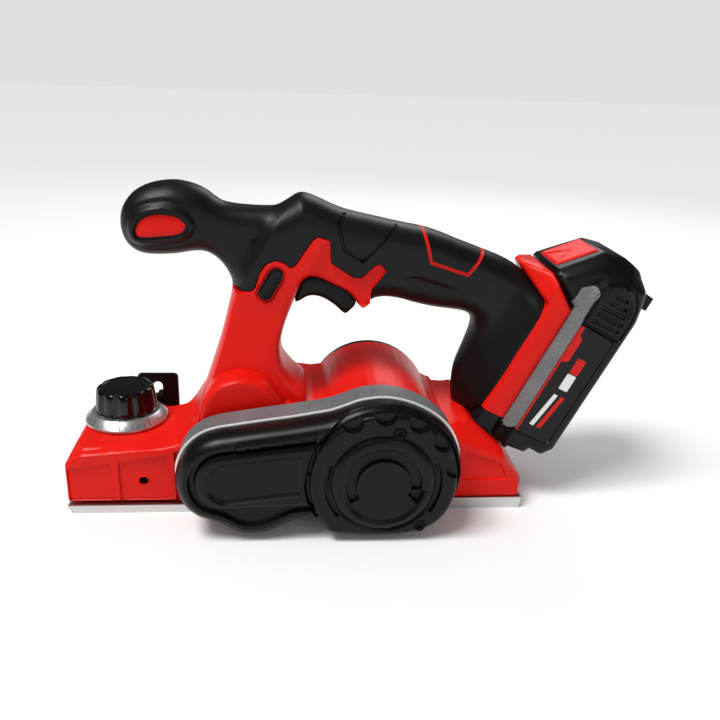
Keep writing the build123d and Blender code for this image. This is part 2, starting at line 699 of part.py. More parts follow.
lock_cut = lock_form(face_clear, -60, 60)

with BuildPart() as grip_left:
    add(half_form.part)
    for x, z in post_xz[:5]:
        add(disc(x, z, 3.6, -grip_half + 2, 0))
    add(black_form, mode=Mode.INTERSECT)
    add(foot_form, mode=Mode.SUBTRACT)
    add(body_form.part, mode=Mode.SUBTRACT)
    add(rail_cut, mode=Mode.SUBTRACT)
    for x, z in post_xz[:5]:
        add(disc(x, z, 1.6, -grip_half + 3.5, 1), mode=Mode.SUBTRACT)
    with BuildSketch(at_y(-grip_half + 1.5)):
        with Locations((-81, 170.5)):
            Ellipse(15.5, 7, rotation=8)
    extrude(amount=5, mode=Mode.SUBTRACT)

with BuildPart() as pillar_left:
    add(half_form.part)
    add(disc(post_xz[5][0], post_xz[5][1], 3.6, -grip_half + 2, 0))
    add(black_form, mode=Mode.SUBTRACT)
    add(body_form.part, mode=Mode.SUBTRACT)
    add(trig_hole, mode=Mode.SUBTRACT)
    add(lock_cut, mode=Mode.SUBTRACT)
    add(disc(post_xz[5][0], post_xz[5][1], 1.6, -grip_half + 3.5, 1), mode=Mode.SUBTRACT)

with BuildPart() as foot_left:
    add(foot_form)
    add(rail_cut, mode=Mode.SUBTRACT)
    add(body_form.part, mode=Mode.SUBTRACT)
shells = {"grip": grip_left, "pillar": pillar_left, "foot": foot_left}
for tag, shell in shells.items():
    save(shell, tag + "_left")
    with BuildPart() as other:
        add(mirror(shell.part, about=Plane.XZ, mode=Mode.PRIVATE))
    save(other, tag + "_right")

with BuildPart() as horn_insets:
    for y in (-grip_half + 1.5, grip_half):
        with BuildSketch(at_y(y)):
            with Locations((-81, 170.5)):
                Ellipse(15.2, 6.7, rotation=8)
        extrude(amount=1.5)
save(horn_insets, "horn_insets")

with BuildPart() as handle_screws:
    for x, z in post_xz:
        add(disc(x, z, 1.6, -grip_half + 4, grip_half - 3.5))
save(handle_screws, "handle_screws")

# ------------------------------------------------------------------ trigger, lock button, switch
with BuildPart() as trigger:
    add(slab(trig_pts, -trig_half, trig_half))
save(trigger, "trigger")

with BuildPart() as lock_button:
    add(lock_form(0, -grip_half - 1.5, grip_half + 1.5))
save(lock_button, "lock_button")

with BuildPart() as switch_box:
    add(slab([(4, 156), (6, 176), (36, 168), (33, 150), (18, 150)], -8, 8))
save(switch_box, "switch_box")

with BuildPart() as control_board:
    add(slab([(105, 70), (107, 70), (117, 108), (115, 108)], -11, 11))
save(control_board, "control_board")

# ------------------------------------------------------------------ battery stop and terminals
with BuildPart() as pack_stop:
    add(slide_slab([(foot_p - foot_t - 1, stop_s - 8), (foot_p + 13, stop_s - 5), (foot_p + 13, stop_s - 0.4),
                    (foot_p + 1, stop_s - 0.4), (foot_p, stop_s - 3.5), (foot_p - foot_t - 1, stop_s - 3.5)],
                   -26, 26))
    add(body_form.part, mode=Mode.SUBTRACT)
save(pack_stop, "pack_stop")

blade_ys = (-12.0, -4.0, 4.0, 12.0)
with BuildPart() as terminal_block:
    add(slide_box(head_p, foot_p - 0.2, stop_s - 1, stop_s + 3, -16, 16))
save(terminal_block, "terminal_block")
with BuildPart() as terminal_blades:
    for y in blade_ys:
        add(slide_box(foot_p - 8, foot_p - 2, stop_s + 3, stop_s + 15, y - 0.4, y + 0.4))
save(terminal_blades, "terminal_blades")

# ------------------------------------------------------------------ battery
lid_t = 8.0
face_p = foot_p + 0.4
lid_p = foot_p + lid_t
back_p = foot_p + pack_t
top_s = stop_s + pack_len
cap_s = top_s + 23.5
with BuildPart() as pack_lid:
    add(slide_slab([(face_p, stop_s + 0.3), (lid_p, stop_s + 0.3), (lid_p, top_s), (back_p - 0.5, top_s),
                    (back_p - 0.5, top_s + 10), (back_p - 8, cap_s - 3), (back_p - 25, cap_s), (face_p - 0.5, cap_s - 2),
                    (foot_p - 20.5, top_s + 0.6), (foot_p - 20.5, stop_s + 107.1), (face_p, stop_s + 92.6)],
                   -pack_half, pack_half))
    add(slide_box(foot_p - tongue_deep, neck_p, stop_s + 3.5, stop_s + 88, -tongue_head, tongue_head))
    add(slide_box(neck_p, face_p, stop_s + 3.5, stop_s + 92, -tongue_neck, tongue_neck))
    for y in blade_ys:
        add(slide_box(foot_p - 9, foot_p - 1, stop_s + 3, stop_s + 17, y - 0.9, y + 0.9), mode=Mode.SUBTRACT)
    # pocket for the release button
    add(slide_slab([(foot_p - 17.5, top_s + 3.5), (face_p - 3.5, top_s + 18.0), (face_p + 5, top_s + 9.5),
                    (foot_p - 9, top_s - 5.0)], -14.5, 14.5), mode=Mode.SUBTRACT)
save(pack_lid, "pack_lid")

with BuildPart() as pack_case:
    add(slide_slab([(lid_p, stop_s - 0.2), (back_p - 4, stop_s + 3), (back_p, stop_s + 9), (back_p, top_s - 6),
                    (back_p, top_s), (lid_p, top_s)], -pack_half, pack_half))
    add(slide_slab([(lid_p + 2.0, stop_s + 6), (back_p - 2.5, stop_s + 8), (back_p - 2.5, top_s - 2.5),
                    (lid_p + 2.0, top_s - 2.5)], -pack_half + 2.5, pack_half - 2.5), mode=Mode.SUBTRACT)
save(pack_case, "pack_case")

cells = 5
with BuildPart() as pack_cells:
    for k in range(cells):
        p = lid_p + 5.5 + cell_r
        s_at = stop_s + 17.5 + 19.3 * k
        x = rear + p * n_vec[0] + s_at * d_vec[0]
        z = p * n_vec[2] + s_at * d_vec[2]
        add(disc(x, z, cell_r, -cell_len / 2, cell_len / 2))
save(pack_cells, "pack_cells")

with BuildPart() as pack_board:
    add(slide_box(lid_p + 2.2, lid_p + 3.8, stop_s + 9, top_s - 6, -pack_half + 7.5, pack_half - 7.5))
save(pack_board, "pack_board")

with BuildPart() as pack_tab:
    add(slide_slab([(back_p - 0.5, top_s + 0.3), (back_p + 8, top_s + 0.3), (back_p + 8, top_s + 9), (back_p - 0.5, top_s + 10)],
                   -22, 22))
save(pack_tab, "pack_tab")

with BuildPart() as pack_pads:
    for s in (-1, 1):
        y0 = s * pack_half
        y1 = s * (pack_half + 1.0)
        add(slide_box(lid_p + 4, back_p - 3, top_s - 36, top_s - 2, min(y0, y1), max(y0, y1)))
save(pack_pads, "pack_pads")
with BuildPart() as pack_labels:
    for s in (-1, 1):
        y0 = s * pack_half
        y1 = s * (pack_half + 0.4)
        add(slide_box(lid_p + 2, back_p - 2, stop_s + 10, top_s - 38, min(y0, y1), max(y0, y1)))
save(pack_labels, "pack_labels")

with BuildPart() as release_button:
    add(slide_slab([(foot_p - 17.0, top_s + 4.0), (face_p - 3.9, top_s + 17.5), (face_p - 0.8, top_s + 14.4),
                    (foot_p - 13.8, top_s + 1.2)], -14.0, 14.0))
save(release_button, "release_button")
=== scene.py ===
import math
import bpy
import numpy as np
from mathutils import Matrix, Vector
from mathutils.geometry import delaunay_2d_cdt


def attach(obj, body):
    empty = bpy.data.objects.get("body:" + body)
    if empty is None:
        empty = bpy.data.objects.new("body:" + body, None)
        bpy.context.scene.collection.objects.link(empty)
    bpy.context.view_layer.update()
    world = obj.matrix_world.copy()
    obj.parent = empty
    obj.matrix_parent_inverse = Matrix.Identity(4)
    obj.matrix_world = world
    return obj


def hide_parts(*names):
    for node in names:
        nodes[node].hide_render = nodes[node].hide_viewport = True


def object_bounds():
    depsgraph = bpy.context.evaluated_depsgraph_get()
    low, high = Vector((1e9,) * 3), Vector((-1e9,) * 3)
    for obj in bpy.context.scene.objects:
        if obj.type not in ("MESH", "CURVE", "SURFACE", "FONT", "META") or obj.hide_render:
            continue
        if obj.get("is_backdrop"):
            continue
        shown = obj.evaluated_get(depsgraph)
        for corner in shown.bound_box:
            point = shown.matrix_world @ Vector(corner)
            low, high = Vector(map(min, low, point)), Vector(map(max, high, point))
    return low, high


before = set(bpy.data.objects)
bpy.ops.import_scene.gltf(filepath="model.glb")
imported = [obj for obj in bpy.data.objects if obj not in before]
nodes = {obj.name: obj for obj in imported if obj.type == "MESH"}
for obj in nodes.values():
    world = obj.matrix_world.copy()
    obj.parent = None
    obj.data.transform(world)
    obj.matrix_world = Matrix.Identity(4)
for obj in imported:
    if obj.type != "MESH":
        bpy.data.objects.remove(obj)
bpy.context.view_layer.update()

scene = bpy.context.scene

# ------------------------ floor, light and camera
# A pale matt floor, a broad soft sun, a small key light above the nose, a fill in front and
# a rim light behind.  The sky has three strengths: what the eye sees, what lights the
# planer, and a dim one for reflections, so that grazing gloss stays dark.


def linear(hex_code, alpha=1.0):
    """sRGB hex to linear colour: each channel goes through the sRGB curve."""
    code = hex_code.lstrip("#")
    srgb = np.array([int(code[k:k + 2], 16) for k in (0, 2, 4)]) / 255.0
    lin = np.where(srgb <= 0.04045, srgb / 12.92, ((srgb + 0.055) / 1.055) ** 2.4)
    return (*lin.tolist(), alpha)


def add_node(tree, kind, settings=None, **links):
    """Adds a node, sets its properties or inputs from settings, and links inputs to outputs."""
    made = tree.nodes.new(kind)
    for key, value in (settings or {}).items():
        if isinstance(key, int) or key in made.inputs:
            made.inputs[key].default_value = value
        else:
            setattr(made, key, value)
    for key, source in links.items():
        target = made.inputs[int(key[1:])] if key[0] == "i" and key[1:].isdigit() else made.inputs[key]
        tree.links.new(source, target)
    return made


def new_material(name):
    """An empty node material with its Principled shader."""
    mat = bpy.data.materials.new(name)
    mat.use_nodes = True
    tree = mat.node_tree
    return mat, tree, tree.nodes["Principled BSDF"]


floor_mat, tree, shader = new_material("painted_floor")
shader.inputs["Base Color"].default_value = linear("#f4f4f3")
shader.inputs["Roughness"].default_value = 0.9
shader.inputs["Specular IOR Level"].default_value = 0.1
floor_mesh = bpy.data.meshes.new("floor")
floor_mesh.from_pydata([(-6, -6, 0), (6, -6, 0), (6, 6, 0), (-6, 6, 0)], [], [(0, 1, 2, 3)])
floor = bpy.data.objects.new("floor", floor_mesh)
floor_mesh.materials.append(floor_mat)
scene.collection.objects.link(floor)
floor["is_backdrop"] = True

world = bpy.data.worlds.new("soft_studio")
scene.world = world
world.use_nodes = True
lit_strength, seen_strength, mirrored_strength = 0.36, 0.93, 0.10
sky = world.node_tree.nodes["Background"]
sky.inputs["Color"].default_value = linear("#ffffff")
sky.inputs["Strength"].default_value = lit_strength
seen_sky = add_node(world.node_tree, "ShaderNodeBackground", {"Strength": seen_strength})
ray = add_node(world.node_tree, "ShaderNodeLightPath")
dim_sky = add_node(world.node_tree, "ShaderNodeBackground", {"Strength": mirrored_strength})
mirrored = add_node(world.node_tree, "ShaderNodeMixShader", None, i0=ray.outputs["Is Glossy Ray"],
                    i1=sky.outputs[0], i2=dim_sky.outputs[0])
pick = add_node(world.node_tree, "ShaderNodeMixShader", None, i0=ray.outputs["Is Camera Ray"],
                i1=mirrored.outputs[0], i2=seen_sky.outputs[0])
world.node_tree.links.new(pick.outputs[0], world.node_tree.nodes["World Output"].inputs["Surface"])
scene.view_settings.view_transform = "Standard"


def soft_light(name, place, aim, size, power):
    """A square area light at place, turned to face aim."""
    data = bpy.data.lights.new(name, "AREA")
    data.size = size
    data.energy = power
    lamp = bpy.data.objects.new(name, data)
    lamp.location = place
    lamp.rotation_euler = (Vector(aim) - Vector(place)).to_track_quat("-Z", "Y").to_euler()
    scene.collection.objects.link(lamp)


sun = bpy.data.lights.new("sun_light", "SUN")
sun.energy, sun.angle = 1.9, math.radians(24)
sun_ob = bpy.data.objects.new("sun_light", sun)
sun_ob.rotation_euler = Vector((0.42, 0.30, -1.0)).to_track_quat("-Z", "Y").to_euler()
scene.collection.objects.link(sun_ob)
soft_light("key_light", (-0.45, -0.2, 0.9), (0.02, 0, 0.09), 0.22, 2.8)
soft_light("fill_light", (0.5, -1.1, 0.45), (0.05, 0, 0.08), 0.5, 1.3)
soft_light("rim_light", (0.35, 0.8, 0.8), (0.05, 0, 0.1), 0.5, 3.0)

view_turn, view_rise, view_roll = 5.5, 21.13, 2.17     # degrees
film_mm, focal_mm = 36.0, 38.8775
view_gap = 0.5                                         # metres from the middle of the planer
view_middle = Vector((0.03835, 0, 0.08315))
az, el, roll = (math.radians(v) for v in (view_turn, view_rise, view_roll))
right = Vector((math.cos(az), -math.sin(az), 0))
up = Vector((math.sin(az) * math.sin(el), math.cos(az) * math.sin(el), math.cos(el)))
ahead = Vector((math.sin(az) * math.cos(el), math.cos(az) * math.cos(el), -math.sin(el)))
cam_x = right * math.cos(roll) + up * math.sin(roll)
cam_y = up * math.cos(roll) - right * math.sin(roll)
cam_data = bpy.data.cameras.new("camera")
cam_data.sensor_width = film_mm
cam_data.lens = focal_mm
cam_data.clip_start = 0.01
camera = bpy.data.objects.new("camera", cam_data)
spot = view_middle - ahead * view_gap
camera.matrix_world = Matrix.Translation(spot) @ Matrix((cam_x, cam_y, -ahead)).transposed().to_4x4()
scene.collection.objects.link(camera)
scene.camera = camera

# ------------------------ soles
# Rear sole and front shoe: pressure-cast aluminium with the running face and edges
# milled, so the metal is bright with fine lengthwise cutter lines.


def brushed_metal(name, hex_code, rough, line_mm, axis=0, metallic=1.0):
    """Metal with streaks along one axis: noise stretched 40 times along it."""
    mat, tree, shader = new_material(name)
    shader.inputs["Metallic"].default_value = metallic
    place = add_node(tree, "ShaderNodeTexCoord")
    stretch = [1.0, 1.0, 1.0]
    stretch[axis] = 0.025
    turn = add_node(tree, "ShaderNodeMapping", {"Scale": stretch}, Vector=place.outputs["Object"])
    streak = add_node(tree, "ShaderNodeTexNoise", {"Scale": 1000.0 / line_mm, "Detail": 3.0},
                      Vector=turn.outputs[0])
    base = linear(hex_code)
    dark = tuple(c * 0.82 for c in base[:3]) + (1,)
    tint = add_node(tree, "ShaderNodeMix", {"data_type": "RGBA", 6: dark, 7: base},
                    Factor=streak.outputs[0])
    tree.links.new(tint.outputs[2], shader.inputs["Base Color"])
    rub = add_node(tree, "ShaderNodeMapRange", {"To Min": rough - 0.07, "To Max": rough + 0.07},
                   Value=streak.outputs[0])
    tree.links.new(rub.outputs[0], shader.inputs["Roughness"])
    bump = add_node(tree, "ShaderNodeBump", {"Strength": 0.25, "Distance": 0.00005},
                    Height=streak.outputs[0])
    tree.links.new(bump.outputs[0], shader.inputs["Normal"])
    return mat


def paint_node(name, mat):
    """Gives a CAD node's object one material."""
    mesh = nodes[name].data
    mesh.materials.clear()
    mesh.materials.append(mat)


milled = brushed_metal("milled_aluminium", "#d9dadb", 0.38, 0.6)
paint_node("rear_sole", milled)
paint_node("front_shoe", milled)

# ------------------------ main housing
# Red moulded ABS body over the soles.  The moulding has a fine spark-eroded grain and a
# satin gloss.


def moulded(name, hex_code, rough, grain_mm, bump, tone=0.10, shine=0.17):
    """Moulded plastic: fine grain in bump and roughness, and a slow drift of tone."""
    mat, tree, shader = new_material(name)
    place = add_node(tree, "ShaderNodeTexCoord").outputs["Object"]
    grain = add_node(tree, "ShaderNodeTexNoise", {"Scale": 1000.0 / grain_mm, "Detail": 2.0}, Vector=place)
    cloud = add_node(tree, "ShaderNodeTexNoise", {"Scale": 1000.0 / 45.0, "Detail": 3.0}, Vector=place)
    base = linear(hex_code)
    low = tuple(c * (1 - tone) for c in base[:3]) + (1,)
    high = tuple(min(1, c * (1 + tone)) for c in base[:3]) + (1,)
    tint = add_node(tree, "ShaderNodeMix", {"data_type": "RGBA", 6: low, 7: high}, Factor=cloud.outputs[0])
    tree.links.new(tint.outputs[2], shader.inputs["Base Color"])
    rub = add_node(tree, "ShaderNodeMapRange", {"To Min": rough - 0.06, "To Max": rough + 0.06},
                   Value=grain.outputs[0])
    tree.links.new(rub.outputs[0], shader.inputs["Roughness"])
    rough_skin = add_node(tree, "ShaderNodeBump", {"Strength": bump, "Distance": 0.0001},
                          Height=grain.outputs[0])
    tree.links.new(rough_skin.outputs[0], shader.inputs["Normal"])
    shader.inputs["IOR"].default_value = 1.5
    shader.inputs["Specular IOR Level"].default_value = shine
    return mat


red_abs = moulded("red_moulded_abs", "#d8150b", 0.34, 0.5, 0.10, shine=0.16)


def ccw(loop):
    """The outline turned so that it runs anticlockwise."""
    x, z = loop.T
    return loop if np.sum(x * np.roll(z, -1) - np.roll(x, -1) * z) > 0 else loop[::-1]


def rounded(corners, step=12.0):
    """Closed outline whose corners (x, z, radius) are turned into tangent arcs."""
    pts = np.array([(c[0], c[1]) for c in corners], float)
    radii = [c[2] if len(c) > 2 else 0.0 for c in corners]
    out = []
    for k, r in enumerate(radii):
        p, a, b = pts[k], pts[k - 1] - pts[k], pts[(k + 1) % len(pts)] - pts[k]
        la, lb = np.hypot(*a), np.hypot(*b)
        a, b = a / la, b / lb
        half = 0.5 * math.acos(max(-0.9999, min(0.9999, float(a @ b))))
        if r <= 0 or half > 1.55:
            out.append(p)
            continue
        t = min(r / math.tan(half), 0.48 * la, 0.48 * lb)
        r = t * math.tan(half)
        mid = p + (a + b) / np.hypot(*(a + b)) * r / math.sin(half)
        a0 = math.atan2(*(p + a * t - mid)[::-1])
        sweep = (math.atan2(*(p + b * t - mid)[::-1]) - a0 + math.pi) % (2 * math.pi) - math.pi
        n = max(2, int(abs(math.degrees(sweep)) / step) + 2)
        ang = a0 + sweep * np.linspace(0, 1, n)
        out.extend(mid + r * np.stack([np.cos(ang), np.sin(ang)], 1))
    return ccw(np.array(out))


def circle(x, z, r, n=72):
    """Closed round outline."""
    t = np.linspace(0, 2 * np.pi, n, endpoint=False)
    return np.stack([x + r * np.cos(t), z + r * np.sin(t)], 1)


def dense(loop, gap, closed=True):
    """The same outline with extra points so that no side is longer than gap."""
    ends = np.roll(loop, -1, axis=0) if closed else loop[1:]
    starts = loop if closed else loop[:-1]
    parts = [a + (b - a) * np.arange(max(1, int(np.ceil(np.hypot(*(b - a)) / gap))))[:, None]
             / max(1, int(np.ceil(np.hypot(*(b - a)) / gap))) for a, b in zip(starts, ends)]
    if not closed:
        parts.append(loop[-1:])
    return np.concatenate(parts)


def distance(pts, line, closed=True):
    """Shortest distance from each point to the sides of a line."""
    a = line if closed else line[:-1]
    b = np.roll(line, -1, axis=0) if closed else line[1:]
    best = np.full(len(pts), 1e9)
    for lo in range(0, len(pts), 3000):
        p = pts[lo:lo + 3000, None, :]
        ab = (b - a)[None]
        t = np.clip(((p - a) * ab).sum(2) / np.maximum((ab * ab).sum(2), 1e-12), 0, 1)
        gap = p - (a + ab * t[..., None])
        best[lo:lo + 3000] = np.sqrt((gap * gap).sum(2).min(1))
    return best


def within(pts, loop):
    """Even-odd test of points against a closed outline."""
    x0, z0 = loop[:, 0], loop[:, 1]
    x1, z1 = np.roll(x0, -1), np.roll(z0, -1)
    px, pz = pts[:, 0:1], pts[:, 1:2]
    span = (z0 > pz) != (z1 > pz)
    cross = (x1 - x0) * (pz - z0) / np.where(z1 == z0, 1e-9, z1 - z0) + x0
    return (span & (px < cross)).sum(1) % 2 == 1


def depth_in(pts, loop):
    """Distance to a closed outline, positive inside and negative outside."""
    return distance(pts, loop) * np.where(within(pts, loop), 1.0, -1.0)


def shifted(loop, d):
    """Points of an outline moved d inwards, without those that crossed over; with their segments."""
    e = np.roll(loop, -1, axis=0) - loop
    e /= np.maximum(np.hypot(e[:, 0], e[:, 1]), 1e-9)[:, None]
    n = np.stack([-e[:, 1], e[:, 0]], 1)
    m = n + np.roll(n, 1, axis=0)
    m /= np.maximum((m * m).sum(1) / 2, 0.35)[:, None]
    moved = loop + m * d
    ok = np.abs(depth_in(moved, loop) - d) < 0.04 + 0.06 * abs(d)
    return moved, ok


def rims(loop, *depths):
    """Guide lines at several depths inside an outline."""
    return [(*shifted(loop, d), True) for d in depths]


def web(edge, lines, grid):
    """Triangles over an outline: its sides and the given lines become edges of the net."""
    pts, segs = [edge], [np.stack([np.arange(len(edge)), np.roll(np.arange(len(edge)), -1)], 1)]
    count = len(edge)
    for line, ok, closed in lines:
        n = len(line)
        idx = np.arange(n)
        pair = np.stack([idx, (idx + 1) % n], 1) if closed else np.stack([idx[:-1], idx[1:]], 1)
        pair = pair[ok[pair[:, 0]] & ok[pair[:, 1]]]
        pts.append(line)
        segs.append(pair + count)
        count += n
    seg = np.concatenate(segs)
    used = np.unique(seg)
    fixed = np.concatenate(pts)
    lo, hi = edge.min(0), edge.max(0)
    gx, gz = np.meshgrid(np.arange(lo[0], hi[0], grid), np.arange(lo[1], hi[1], grid * 0.866))
    gx = gx + (np.arange(gx.shape[0]) % 2)[:, None] * grid / 2
    fill = np.stack([gx.ravel(), gz.ravel()], 1)
    fill = fill[depth_in(fill, edge) > grid * 0.45]
    near = np.full(len(fill), 1e9)
    for line, ok, closed in lines:
        near = np.minimum(near, distance(fill, line, closed))
    fill = fill[near > grid * 0.4]
    remap = np.full(len(fixed), -1)
    remap[used] = np.arange(len(used))
    every = np.concatenate([fixed[used], fill])
    verts, _, faces, *_ = delaunay_2d_cdt([Vector(v) for v in every.tolist()],
                                          remap[seg].tolist(), [], 0, 1e-4)
    verts = np.array([tuple(v) for v in verts])
    tris = np.array([f for f in faces if len(f) == 3])
    mid = verts[tris].mean(1)
    tris = tris[within(mid, edge)]
    a, b, c = (verts[tris[:, k]] for k in range(3))
    turn = (b - a)[:, 0] * (c - a)[:, 1] - (b - a)[:, 1] * (c - a)[:, 0]
    tris[turn < 0] = tris[turn < 0][:, ::-1]
    return verts, tris[np.abs(turn) > 1e-7]


def rule_lines(rules, gap, edge=None, margin=0.0):
    """Guide lines for (outline, [(depth, height), ...]) rules, kept a margin inside an edge."""
    out = []
    for loop, steps in rules:
        for d, _ in steps:
            line, ok = shifted(dense(loop, gap), d)
            if edge is not None:
                ok = ok & (depth_in(line, edge) > margin)
            out.append((line, ok, True))
    return out


def rule_height(pts, rules):
    """Sum of each rule's height: straight between its steps, by depth inside its outline."""
    total = np.zeros(len(pts))
    for loop, steps in rules:
        d = depth_in(pts, loop)
        total += np.interp(d, [s[0] for s in steps], [s[1] for s in steps])
    return total


def put_mesh(name, verts, faces, mats, body, replaced=(), which=None, sharp=30.0):
    """Mesh object from arrays in mm, shaded smooth up to an angle, riding on a body."""
    mesh = bpy.data.meshes.new(name)
    mesh.from_pydata((np.asarray(verts) * 0.001).tolist(), [], [list(f) for f in faces])
    for mat in mats:
        mesh.materials.append(mat)
    if which is not None:
        mesh.polygons.foreach_set("material_index", np.asarray(which, np.int32))
    mesh.validate()
    mesh.polygons.foreach_set("use_smooth", np.ones(len(mesh.polygons), bool))
    mesh.set_sharp_from_angle(angle=math.radians(sharp))
    made = bpy.data.objects.new(name, mesh)
    scene.collection.objects.link(made)
    if replaced:
        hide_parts(*replaced)
    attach(made, body)
    return made


def rim_of(tris):
    """Directed sides that belong to one triangle only."""
    side = np.concatenate([tris[:, [0, 1]], tris[:, [1, 2]], tris[:, [2, 0]]])
    key = np.sort(side, axis=1)
    _, first, count = np.unique(key, axis=0, return_index=True, return_counts=True)
    return side[first[count == 1]]


def two_sided(pts, tris, left, right, at=None):
    """Closed form: a left skin at y = -left, a right skin at y = +right, joined round the rim."""
    n = len(pts)
    left, right = np.broadcast_to(left, n), np.broadcast_to(right, n)
    a = np.stack([pts[:, 0], -left, pts[:, 1]], 1)
    b = np.stack([pts[:, 0], right, pts[:, 1]], 1)
    rim = rim_of(tris)
    i, j = rim[:, 0], rim[:, 1]
    open_rim = (left + right)[i] + (left + right)[j] > 1e-6
    i, j = i[open_rim], j[open_rim]
    strip = np.stack([j, i, i + n, j + n], 1)
    verts = np.concatenate([a, b])
    merge = np.arange(2 * n)
    shut = (left + right) <= 1e-6
    merge[n:][shut] = np.arange(n)[shut]
    faces = merge[tris].tolist() + merge[tris[:, ::-1] + n].tolist()
    for f in merge[strip].tolist():
        f = list(dict.fromkeys(f))
        if len(f) > 2:
            faces.append(f)
    if at is not None:
        verts = at(verts)
    used = np.unique(np.concatenate([np.asarray(f) for f in faces]))
    remap = np.full(len(verts), -1)
    remap[used] = np.arange(len(used))
    return verts[used], [remap[f].tolist() for f in faces]


def curved(points, per_side=6):
    """Closed smooth outline: a Catmull-Rom curve through the points, per_side points a side."""
    p = np.array(points, float)
    a, b, c, d = np.roll(p, 1, 0), p, np.roll(p, -1, 0), np.roll(p, -2, 0)
    t = (np.arange(per_side) / per_side)[None, :, None]
    a, b, c, d = (v[:, None, :] for v in (a, b, c, d))
    run = 0.5 * (2 * b + (c - a) * t + (2 * a - 5 * b + 4 * c - d) * t ** 2 + (3 * b - a - 3 * c + d) * t ** 3)
    return ccw(run.reshape(-1, 2))


motor_x, hump_z, hump_r = 48, 39.2, 41.2
hump = [(motor_x + hump_r * math.cos(math.radians(a)), hump_z + hump_r * math.sin(math.radians(a)), 4)
        for a in np.linspace(142, 26, 15)]
body_edge = rounded([
    (-140, 7.5, 1), (-140.0, 32, 6), (-134.5, 43, 8), (-84, 43, 20), (-70, 46.5, 10), (-62, 56, 12),
    (-58, 72, 12), (-52, 82, 12), (-36, 87.3, 22), (-20, 82, 12), (-12.5, 71, 8), (-4, 65, 6), (8, 63.5, 5),
    *hump, (91.0, 54.4, 4), (104.5, 57.2, 4), (127, 37.5, 4), (133, 28, 4), (140, 19, 3), (140, 7.5, 1)])
body_edge = dense(body_edge, 2.5)
boss = circle(-35.5, 62, 25.3)
panel_front = rounded([(-138.8, 8.3, 0.6), (-139.0, 30.6, 1), (-113.3, 34.2, 1), (-112.0, 8.3, 0.6)])
panel_mid = rounded([(-108.6, 8.3, 0.6), (-108.4, 35.0, 1), (-80.0, 39.2, 1), (-79.0, 8.3, 0.6)])
panel_tail = rounded([(101, 20, 2), (101, 40.5, 2), (124.5, 32.3, 2), (130.5, 20, 2)])
bay = rounded([(-75.6, 8.3, 0.6), (-75.4, 41, 1), (-62, 46, 1), (-50, 44, 1), (-50, 9, 1)])
hole_x, hole_z = -94.2, 21.4
hole = circle(hole_x, hole_z, 3.0, 28)
shoulder = rounded([
    (-200, -40), (-200, 33), (-137.5, 33.6), (-129.4, 38.6, 1), (-88, 42.4, 2), (-61.5, 60.5, 2),
    (-60, 100), (100, 100), (100, -40)])
tail_slope = rounded([
    (60, -40), (60, 60), (100, 46, 4), (124.5, 35.2, 4), (130, 26.5, 3), (137, 17), (137, -40)])

rules_left = [(panel_front, [(0, 0), (0.55, -1.35)]), (panel_mid, [(0, 0), (0.55, -1.35)]),
              (panel_tail, [(0, 0), (0.55, -1.3)]), (bay, [(0, 0), (0.6, -2.6)]),
              (hole, [(-0.9, 0), (-0.3, 0.5), (0.1, 0.4), (0.4, -9.0)])]
lines = rims(body_edge, 0.4, 1.0, 1.9, 3.2)
lines += rule_lines(rules_left, 2.5)
lines += rims(dense(boss, 2.5), -0.5, 0.5, 1.2, 3.4)
for crease, offs in ((shoulder, (0, -1.0, -1.5, -2.7, -3.3)), (tail_slope, (0.6, -0.2))):
    for d in offs:
        line, ok = shifted(dense(crease, 3), d)
        lines.append((line, ok & (depth_in(line, body_edge) > 0.5), True))
xz, tri = web(body_edge, lines, 2.4)
edge_d = distance(xz, body_edge)


def body_half(pts, d_edge):
    """Half width of the body: flat sides, rounded rim, sloped shoulders at the nose and tail."""
    out = np.maximum(0, -depth_in(pts, shoulder)) * (pts[:, 0] < -50)
    half = 45.0 - np.interp(out, [0, 1.0, 1.5, 2.7, 3.3, 4.4, 8, 16], [0, 1.1, 5.0, 6.3, 12, 16, 19, 26])
    half -= 1.3 * np.minimum(np.maximum(0, -depth_in(pts, tail_slope)) * (pts[:, 0] > 92), 9)
    in_boss = depth_in(pts, boss)
    lift = np.interp(in_boss, [-0.5, 0.5, 1.2, 3.4], [-15.0, -3.4, -2.0, 0.0])
    zone = (pts[:, 1] > 44) & (pts[:, 0] > -66) & (pts[:, 0] < -6)
    neck = 25.5 + np.clip((66 - pts[:, 1]) / 16, 0, 1) * 19
    mixed = np.where(in_boss > -0.5, 40.5 + lift, np.minimum(half, neck))
    half = np.where(zone, np.minimum(mixed, 45), half)
    return half - np.interp(d_edge, [0, 0.4, 1.0, 1.9, 3.2], [2.6, 1.7, 0.9, 0.3, 0])


half = body_half(xz, edge_d)
crown = np.interp(xz[:, 0], [-134, -84, -70, -62], [43, 43, 46.5, 56])
far = 26 - 9 * np.clip((xz[:, 0] + 96) / 8, 0, 1) + 1.1 * np.maximum(0, crown - xz[:, 1])
far += 30 * np.clip((xz[:, 0] + 74) / 12, 0, 1)
verts, faces = two_sided(xz, tri, half + rule_height(xz, rules_left), np.minimum(half, far))
shell = put_mesh("housing_shell", verts, faces, [red_abs], "housing", ["base_housing"])

